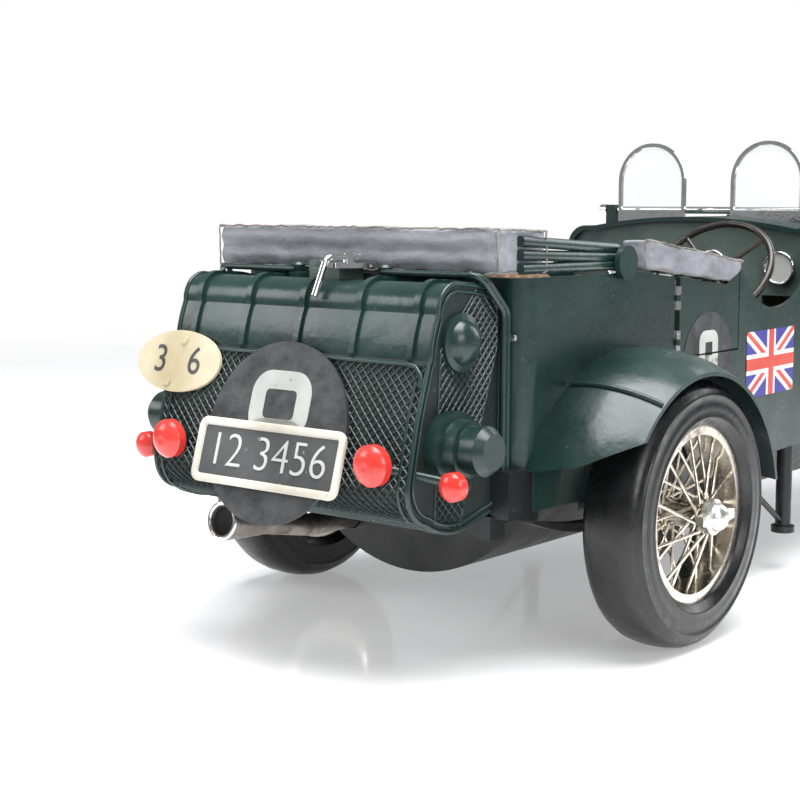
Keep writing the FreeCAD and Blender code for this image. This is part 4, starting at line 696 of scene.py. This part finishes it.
def digits(words, height, depth, thin=0.0):
    """Plain digits, centred, standing depth proud; thin takes weight off the strokes."""
    bpy.ops.object.select_all(action="DESELECT")
    bpy.ops.object.text_add()
    piece = bpy.context.object
    piece.data.body = words
    piece.data.size, piece.data.extrude = height * MM * 1.38, depth * MM / 2
    piece.data.align_x, piece.data.align_y = "CENTER", "CENTER"
    piece.data.resolution_u = 4
    piece.data.offset = -thin * height * MM
    bpy.ops.object.convert(target="MESH")
    piece = bpy.context.object
    piece.data.transform(Matrix.Translation((0, 0, depth * MM / 2)))
    return piece


eight = lay(figure_eight(19.6, 28.6, 4.7, 0.12), leaning(0, -81.0, 59.7, 1.0))
settle(eight, "disc_figure", figure_white)
print("figure on the disc", [round(v * 1000, 1) for v in eight.dimensions])

# %% The number plate
plate = rounded_panel(48.4, 16.4, 2.6, 1.4)
top_faces(plate)
bpy.ops.mesh.inset(thickness=1.9 * MM)
bpy.ops.mesh.extrude_region_move(TRANSFORM_OT_translate={"value": (0, 0, -0.75 * MM)})
bpy.ops.object.mode_set(mode="OBJECT")
apply_modifier(plate, "BEVEL", width=0.45 * MM, segments=3, limit_method="ANGLE",
               angle_limit=math.radians(40))
settle(lay(plate, leaning(0, -84.4, 53.2, 0)), "plate_frame", frame_white)
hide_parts("number_plate")
field = rounded_panel(44.3, 12.3, 0.9, 0.1)
settle(lay(field, leaning(0, -84.4, 53.2, 0.62)), "plate_field", field_grey)
plate_digits = lay(digits("12 3456", 8.8, 0.3, 0.022), leaning(0, -84.4, 53.2, 0.7))
settle(plate_digits, "plate_digits", figure_white)
print("plate made")

# %% The oval plate's digits and rivets
for words, across in (("3", -6.4), ("6", 6.0)):
    digit = lay(digits(words, 7.4, 0.12), leaning(-38.5 + across, -76.9, 73.5, 0.78))
    settle(digit, "oval_digit_" + words, figure_dark)
print("oval plate lettered")

# %% [markdown]
# ## Tyres
# A tyre is one profile turned about the axle: a rounded crown, a shoulder, a bulging wall with two
# moulded rings, and a bead that hides in the rim. Spin makes it exactly round.

# %% Turn one tyre
HALF_PROFILE = [(0, 34.95), (2.6, 34.85), (5.0, 34.45), (6.7, 33.6), (7.7, 32.3), (8.05, 31.3),
                (8.45, 31.1),
                (8.5, 30.5), (8.3, 30.2), (8.72, 28.6), (8.8, 27.2), (8.6, 25.7), (8.75, 25.4),
                (8.6, 24.9), (8.2, 24.6), (7.4, 23.3), (6.4, 22.75), (5.5, 22.7), (5.4, 21.9)]


def make_tyre():
    """One tyre about the X axis at the origin."""
    profile = HALF_PROFILE + [(-x, r) for x, r in reversed(HALF_PROFILE[1:])]
    mesh = bpy.data.meshes.new("tyre")
    mesh.from_pydata([(x * MM, 0, r * MM) for x, r in profile],
                     [(i, (i + 1) % len(profile)) for i in range(len(profile))], [])
    piece = bpy.data.objects.new("tyre", mesh)
    bpy.context.collection.objects.link(piece)
    alone(piece)
    bpy.ops.object.mode_set(mode="EDIT")
    bpy.ops.mesh.select_all(action="SELECT")
    bpy.ops.mesh.spin(steps=120, angle=2 * math.pi, center=(0, 0, 0), axis=(1, 0, 0))
    bpy.ops.object.mode_set(mode="OBJECT")
    return tidy_normals(piece)


first_tyre = make_tyre()
for end, hand in CORNERS:
    low, high = (Vector(corner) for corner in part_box(f"tyre_{end}_{hand}"))
    piece = first_tyre.copy()
    piece.data = first_tyre.data.copy()
    bpy.context.collection.objects.link(piece)
    piece.data.transform(Matrix.Translation((low + high) / 2))
    settle(piece, f"road_tyre_{end}_{hand}", rubber, f"wheel_{end}_{hand}", 50)
    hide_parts(f"tyre_{end}_{hand}")
bpy.data.objects.remove(first_tyre)
print("four tyres of", len(piece.data.polygons), "faces")

# %% [markdown]
# ## The folded hood
# The hood is painted cloth folded into a long bundle across the tail, with a bag wrapped over its
# front end on each side. A fine block is rounded at its edges and then pushed about by smooth noise,
# so that it sags and puckers. Narrow bindings with frayed edges follow its corners.


# %% Soft blocks
def soft_block(shape, cuts, edge, wobble, seed):
    """A rounded, puckered block. shape maps (u, v, w), each from -1 to 1, to millimetres."""
    bpy.ops.object.select_all(action="DESELECT")
    bpy.ops.mesh.primitive_cube_add(size=2)
    piece = bpy.context.object
    bpy.ops.object.mode_set(mode="EDIT")
    bpy.ops.mesh.select_all(action="SELECT")
    bpy.ops.mesh.subdivide(number_cuts=cuts)
    bpy.ops.object.mode_set(mode="OBJECT")
    for vertex in piece.data.vertices:
        kept = Vector([max(-1 + e, min(1 - e, c)) for c, e in zip(vertex.co, edge)])
        reach = Vector([(c - k) / e for c, k, e in zip(vertex.co, kept, edge)])
        rounded = Vector([k + r * e for k, r, e in zip(kept, reach.normalized(), edge)])
        place = mm(*shape(*rounded))
        pull = noise.noise_vector(place * 90 + Vector((seed, 0, 0))) * wobble
        pull += noise.noise_vector(place * 320 + Vector((0, seed, 0))) * wobble * 0.35
        vertex.co = place + pull * MM
    return piece


def bundle_shape(u, v, w):
    """Across, forwards, up: wider at its front edge, its hem a little uneven."""
    front = (v + 1) / 2
    x = u * (46 + 2.7 * front)
    y = -54.2 + 16.2 * front
    low = 97.5 + 0.35 * math.sin(u * 17) + 0.25 * math.sin(u * 41)
    high = 108.3 - 0.5 * front + 0.25 * math.sin(u * 9)
    z = low + (high - low) * (w + 1) / 2
    fold = 0.28 * math.cos(w * 2.2 * math.pi) if v < 0 else 0.0
    return x, y + fold, z


bundle = soft_block(bundle_shape, 44, (0.03, 0.16, 0.2), 0.32, 3.0)
settle(bundle, "hood_bundle", hood_cloth, angle=60)
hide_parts("hood_rear_bundle")
print("bundle faces", len(bundle.data.polygons))


# %% The bags over the front ends
def bag_shape(side):
    """Along, up, across: a bag that tapers down to the front with a cut-off lower corner."""
    def shape(u, v, w):
        y = 4.2 + 53.4 * (u + 1) / 2
        low = 97.1 - 5.0 * (y - 4) / 46.3 if y < 50.3 else 92.1 + 3.4 * (y - 50.3) / 7.3
        high = 104.9 - 7.4 * (y - 4) / 53.9
        low += 0.2 * math.sin(y * 0.55)
        z = low + (high - low) * (v + 1) / 2
        return side * (47.75 + 3.9 * w), y, z
    return shape


for side, name in ((1, "hood_bag_right"), (-1, "hood_bag_left")):
    bag = soft_block(bag_shape(side), 30, (0.04, 0.22, 0.3), 0.3, 11.0 + side)
    settle(tidy_normals(bag), name, hood_cloth, angle=60)
    if side > 0:
        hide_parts("hood_side_covers")
print("bags faces", len(bag.data.polygons))


# %% Frayed bindings
def ragged(points, steps, amount, seed):
    """Points along straight runs, shaken a little by noise."""
    line = []
    for a, b in zip(points, points[1:]):
        for i in range(steps):
            line.append(Vector(a).lerp(Vector(b), i / steps))
    line.append(Vector(points[-1]))
    return [tuple(p + noise.noise_vector(p * 0.55 + Vector((seed, 0, 0))) * amount) for p in line]


bindings = [
    tube(ragged([(-46.2, -54.3, 108.2), (46.2, -54.3, 108.2)], 60, 0.4, 1), 0.25),
    tube(ragged([(-46.2, -54.3, 97.7), (46.2, -54.3, 97.7)], 60, 0.55, 2), 0.24),
    tube(ragged([(46.3, -54.3, 97.8), (46.3, -54.3, 108.0)], 10, 0.3, 3), 0.20),
    tube(ragged([(-46.3, -54.3, 97.8), (-46.3, -54.3, 108.0)], 10, 0.3, 4), 0.20),
]
for side in (1, -1):
    bindings += [
        tube(ragged([(side * 46.3, -54.2, 108.1), (side * 48.9, -38.2, 107.6)], 12, 0.35, 5), 0.27),
        tube(ragged([(side * 46.3, -54.2, 97.8), (side * 48.9, -38.2, 97.8)], 12, 0.35, 6), 0.22),
        tube(ragged([(side * 48.9, -38.1, 97.9), (side * 48.9, -38.1, 107.5)], 8, 0.3, 7), 0.24),
        tube(ragged([(side * 51.3, 4.4, 104.7), (side * 51.4, 57.4, 97.5)], 34, 0.4, 9), 0.36),
        tube(ragged([(side * 51.3, 4.3, 97.4), (side * 51.3, 50.0, 92.3), (side * 51.3, 57.5, 95.8)],
                    24, 0.3, 10), 0.20),
        tube(ragged([(side * 51.2, 4.3, 97.4), (side * 51.2, 4.3, 104.8)], 6, 0.25, 11), 0.22),
    ]
settle(join(bindings), "hood_bindings", binding, angle=70)
print("bindings joined from", len(bindings), "runs")

# %% [markdown]
# ## Marks on the body's sides
# The side of the body is a gentle curve seen from above, so each painted mark is drawn flat and then
# wrapped onto that curve. The round panel crosses the door's lower edge, so it is cut there: its
# upper part swings with the door and its lower part stays.

# %% The curve of the side
(SIDE_U, SIDE_V) = (50.3, 23.0)
SIDE_LINE = [(47.5, -39.0)] + arc((47.5, -39.0), (SIDE_U, SIDE_V), (45.5, 145.0), 60)


def side_x(y):
    """How far out the body's side is at y."""
    for (ax, ay), (bx, by) in zip(SIDE_LINE, SIDE_LINE[1:]):
        if ay <= y <= by:
            return ax + (bx - ax) * (y - ay) / (by - ay)
    return 45.5


def wrap(piece, y, z, side, proud):
    """Lay a flat drawing (u right, v up, w out) on the body's side."""
    alone(piece)
    bpy.ops.object.mode_set(mode="EDIT")
    for step in range(-16, 17, 4):
        bpy.ops.mesh.select_all(action="SELECT")
        bpy.ops.mesh.bisect(plane_co=(step * MM, 0, 0), plane_no=(1, 0, 0))
    bpy.ops.object.mode_set(mode="OBJECT")
    for vertex in piece.data.vertices:
        u, v, w = vertex.co / MM
        along = y + u
        vertex.co = mm(side * (side_x(along) + proud + w), along, z + v)
    return tidy_normals(piece)


def split(piece, height):
    """Cut a piece by a level plane; gives the parts above and below it."""
    parts = []
    for keep_above in (True, False):
        part = piece.copy()
        part.data = piece.data.copy()
        bpy.context.collection.objects.link(part)
        alone(part)
        bpy.ops.object.mode_set(mode="EDIT")
        bpy.ops.mesh.select_all(action="SELECT")
        level = height + (0.25 if keep_above else -0.25)
        bpy.ops.mesh.bisect(plane_co=(0, 0, level * MM), plane_no=(0, 0, 1), use_fill=True,
                            clear_inner=keep_above, clear_outer=not keep_above)
        bpy.ops.object.mode_set(mode="OBJECT")
        parts.append(part)
    bpy.data.objects.remove(piece)
    return parts


DOOR_EDGE = 72.25
for side, hand in ((1, "right"), (-1, "left")):
    panel = rounded_panel(28, 28, 13.9, 0.12)
    figure = figure_eight(10.6, 17.5, 3.3, 0.1)
    for piece, name, finish, slot, proud in ((panel, "side_disc", disc_black, "black", 0.02),
                                             (figure, "side_figure", figure_white, "ivory", 0.13)):
        wrapped = wrap(piece, 40.5, 70.0, side, proud)
        for part, place in zip(split(wrapped, DOOR_EDGE), ("upper", "lower")):
            body = f"door_{hand}" if place == "upper" else CAR
            settle(part, f"{name}_{hand}_{place}", finish, body)
print("round side panels painted")


# %% Crossed flag panels
def strip(length, width, angle, depth, size):
    """A straight band across a flag of the given size, trimmed to it."""
    piece = rounded_panel(length, width, 0.02, depth)
    piece.data.transform(Matrix.Rotation(angle, 4, "Z"))
    alone(piece)
    bpy.ops.object.mode_set(mode="EDIT")
    for u, v in ((1, 0), (-1, 0), (0, 1), (0, -1)):
        bpy.ops.mesh.select_all(action="SELECT")
        bpy.ops.mesh.bisect(plane_co=(u * size[0] / 2 * MM, v * size[1] / 2 * MM, 0),
                            plane_no=(u, v, 0), use_fill=True, clear_outer=True)
    bpy.ops.object.mode_set(mode="OBJECT")
    return piece


FLAG = (33.0, 19.5)
slope = math.atan2(FLAG[1], FLAG[0])
for side, hand in ((1, "right"), (-1, "left")):
    bands = [("flag_ground", [strip(40, 30, 0, 0.06, FLAG)], flag_blue),
             ("flag_saltire", [strip(44, 4.3, s * slope, 0.10, FLAG) for s in (1, -1)], flag_white),
             ("flag_saltire_red", [strip(44, 1.5, s * slope, 0.13, FLAG) for s in (1, -1)], flag_red),
             ("flag_cross", [strip(40, 6.0, 0, 0.16, FLAG), strip(30, 6.0, math.pi / 2, 0.16, FLAG)],
              flag_white),
             ("flag_cross_red", [strip(40, 3.4, 0, 0.19, FLAG), strip(30, 3.4, math.pi / 2, 0.19, FLAG)],
              flag_red)]
    for name, pieces, finish in bands:
        painted = wrap(join(pieces), 80.5, 66.8, side, 0.02)
        settle(painted, f"{name}_{hand}", finish)
print("flag panels painted")

# %% [markdown]
# ## Hide seats
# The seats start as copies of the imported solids. A voxel remesh gives them an even skin, smoothing
# takes the hard edges off, and a wave pushed along the normals sews upright channels into them.


# %% Pad the seats
def pad_from(node, name, channel):
    """A padded, channelled seat over a CAD solid."""
    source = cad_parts[node]
    piece = source.copy()
    piece.data = source.data.copy()
    bpy.context.collection.objects.link(piece)
    piece.parent = None
    tidy_normals(piece)
    apply_modifier(piece, "REMESH", mode="VOXEL", voxel_size=0.8 * MM)
    apply_modifier(piece, "SMOOTH", iterations=14, factor=0.6)
    normals = [vertex.normal.copy() for vertex in piece.data.vertices]
    for vertex, normal in zip(piece.data.vertices, normals):
        wave = abs(math.sin(math.pi * vertex.co.x / (channel * MM))) ** 0.5
        facing = max(0.0, max(normal.z, normal.y))
        vertex.co += normal * ((wave - 0.45) * 0.9 * facing) * MM
        vertex.co += noise.noise_vector(vertex.co * 120) * 0.25 * MM
    settle(piece, name, hide, angle=60)
    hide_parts(node)
    return piece


for node, name, channel in (("front_seats", "hide_front_seats", 4.3),
                            ("rear_seat", "hide_rear_seat", 6.0)):
    print(name, len(pad_from(node, name, channel).data.polygons), "faces")

# %% [markdown]
# ## Small fittings
# Small parts carry much of the look: a rolled lip on the exhaust with a near-black plug in its mouth
# (soot, and painted shade in place of the pipe's hollow), a seam over each rear fender, louvres and
# a hinge on the bonnet, a net in the radiator, faces on the dials and a catch at the body's corner.
# The seam is found by casting rays onto the fender, so it lies on any curve.

# %% Exhaust lip
bpy.ops.object.select_all(action="DESELECT")
bpy.ops.mesh.primitive_torus_add(major_radius=4.55 * MM, minor_radius=0.55 * MM, major_segments=64,
                                 minor_segments=12)
lip = bpy.context.object
PIPE_X, PIPE_Z, PIPE_RISE = -20.8, 34.2, math.radians(90 - 10.5)
lip.data.transform(Matrix.Translation(mm(PIPE_X, -79.9, PIPE_Z))
                   @ Matrix.Rotation(PIPE_RISE, 4, "X"))
settle(lip, "exhaust_lip", bright, angle=60)
throat = [(PIPE_X, -79.4 + deep * 0.98, PIPE_Z - deep * 0.19) for deep in (0.4, 2.2, 4.6)]
# The throat is a closed near-black plug: soot, and painted shade where the pipe is hollow.
settle(tube(throat, 4.15, sides=8), "exhaust_throat", soot_and_painted_shade, angle=40)
print("exhaust lip", [round(v * 1000, 1) for v in lip.dimensions])

# %% Seams over the rear fenders
skin = bmesh.new()
skin.from_mesh(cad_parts["rear_fenders"].data)
fender_skin = BVHTree.FromBMesh(skin)
SEAM_ANGLE, SEAM_PROUD, AXLE_HEIGHT = math.radians(128), 0.25, 35
out = Vector((0, math.cos(SEAM_ANGLE), math.sin(SEAM_ANGLE)))
seams = []
for side in (1, -1):
    line = []
    for step in range(28):
        start = mm(side * (49.5 + step * 0.9), 0, AXLE_HEIGHT) + out * 90 * MM
        hit = fender_skin.ray_cast(start, -out)[0]
        if hit is not None:
            line.append(tuple((hit - mm(0, 0, 0)) / MM + out * SEAM_PROUD))
    seams.append(tube(line, 0.7))
skin.free()
settle(join(seams), "fender_seams", green, angle=60)
print("fender seams", len(seams))


# %% Bonnet louvres and hinge
def louvre():
    """One raised slot: half of a stretched ball with its foot cut flat."""
    bpy.ops.object.select_all(action="DESELECT")
    bpy.ops.mesh.primitive_uv_sphere_add(segments=14, ring_count=8, radius=1)
    piece = bpy.context.object
    bpy.ops.object.mode_set(mode="EDIT")
    bpy.ops.mesh.select_all(action="SELECT")
    bpy.ops.mesh.bisect(plane_co=(0, 0, 0), plane_no=(0, 0, 1), use_fill=True, clear_inner=True)
    bpy.ops.object.mode_set(mode="OBJECT")
    piece.data.transform(Matrix.Diagonal((0.85 * MM, 8.5 * MM, 0.95 * MM, 1)))
    return piece


def bonnet_x(y):
    """How far out the bonnet's flat side is at y."""
    return 45.5 + (25.0 - 45.5) * (y - 145) / 87


slots = []
first_louvre = louvre()
draw_in = math.atan2(20.5, 87)
for side in (1, -1):
    for number in range(17):
        y = 155 + number * 3.7
        if 164 < y < 170.5 or 212 < y < 219:
            continue
        piece = first_louvre.copy()
        piece.data = first_louvre.data.copy()
        bpy.context.collection.objects.link(piece)
        out = Vector((side * math.cos(draw_in), math.sin(draw_in), 0))
        up = Vector((0, 0, 1))
        spin = Matrix((up.cross(out), up, out)).transposed().to_4x4()
        piece.data.transform(Matrix.Translation(mm(side * (bonnet_x(y) - 0.05), y, 76)) @ spin)
        slots.append(piece)
bpy.data.objects.remove(first_louvre)
settle(join(slots), "bonnet_louvres", green)
hinge = [tube([(0, 145.5, 109.3), (0, 231.5, 103.2)], 0.7)]
for side in (1, -1):
    hinge.append(tube([(side * 45.4, 145.5, 97.0), (side * 25.1, 231.5, 87.6)], 0.5))
settle(join(hinge), "bonnet_hinges", bright, angle=60)
print("louvres and hinges made")

# %% Radiator net
core = path_of([(-23.3, 45.2), (23.3, 45.2), (23.3, 86.0), (22.0, 92.0, 17.7, 96.0),
                (0, 103.8, -17.7, 96.0), (-22.0, 92.0, -23.3, 86.0)])
grille = net(70, 1.9, outward_cuts(core, (0, 72), 0.0))
for vertex in grille.data.vertices:
    vertex.co = mm(vertex.co.x, 238.7, vertex.co.y + 72)
settle(wires(grille, 0.45), "radiator_net", bright, angle=30)
print("radiator net faces", len(grille.data.polygons))

# %% Dials
faces, bezels = [], []
for x in (-27, -9, 9, 33):
    bpy.ops.object.select_all(action="DESELECT")
    bpy.ops.mesh.primitive_torus_add(major_radius=5.0 * MM, minor_radius=0.45 * MM, major_segments=40,
                                     minor_segments=8)
    turn = Matrix.Translation(mm(x, 118.1, 93.0)) @ Matrix.Rotation(math.radians(90), 4, "X")
    bpy.context.object.data.transform(turn)
    bezels.append(bpy.context.object)
    face = rounded_panel(9.4, 9.4, 4.6, 0.1)
    upright = Matrix.Rotation(math.radians(90), 4, "X")
    face.data.transform(Matrix.Translation(mm(x, 118.28, 93.0)) @ upright)
    faces.append(tidy_normals(face))
settle(join(bezels), "dial_bezels", bright, angle=60)
settle(join(faces), "dial_faces", figure_white)
print("dials fitted")

# %% Corner catches
for side, hand in ((1, "right"), (-1, "left")):
    catch = rounded_panel(4.2, 1.6, 0.5, 1.0)
    apply_modifier(catch, "BEVEL", width=0.2 * MM, segments=2)
    place = Matrix.Translation(mm(side * 43.2, -44.8, 82)) @ Matrix.Rotation(math.radians(90), 4, "X")
    catch.data.transform(place)
    settle(catch, f"corner_catch_{hand}", cast)
print("catches fitted")
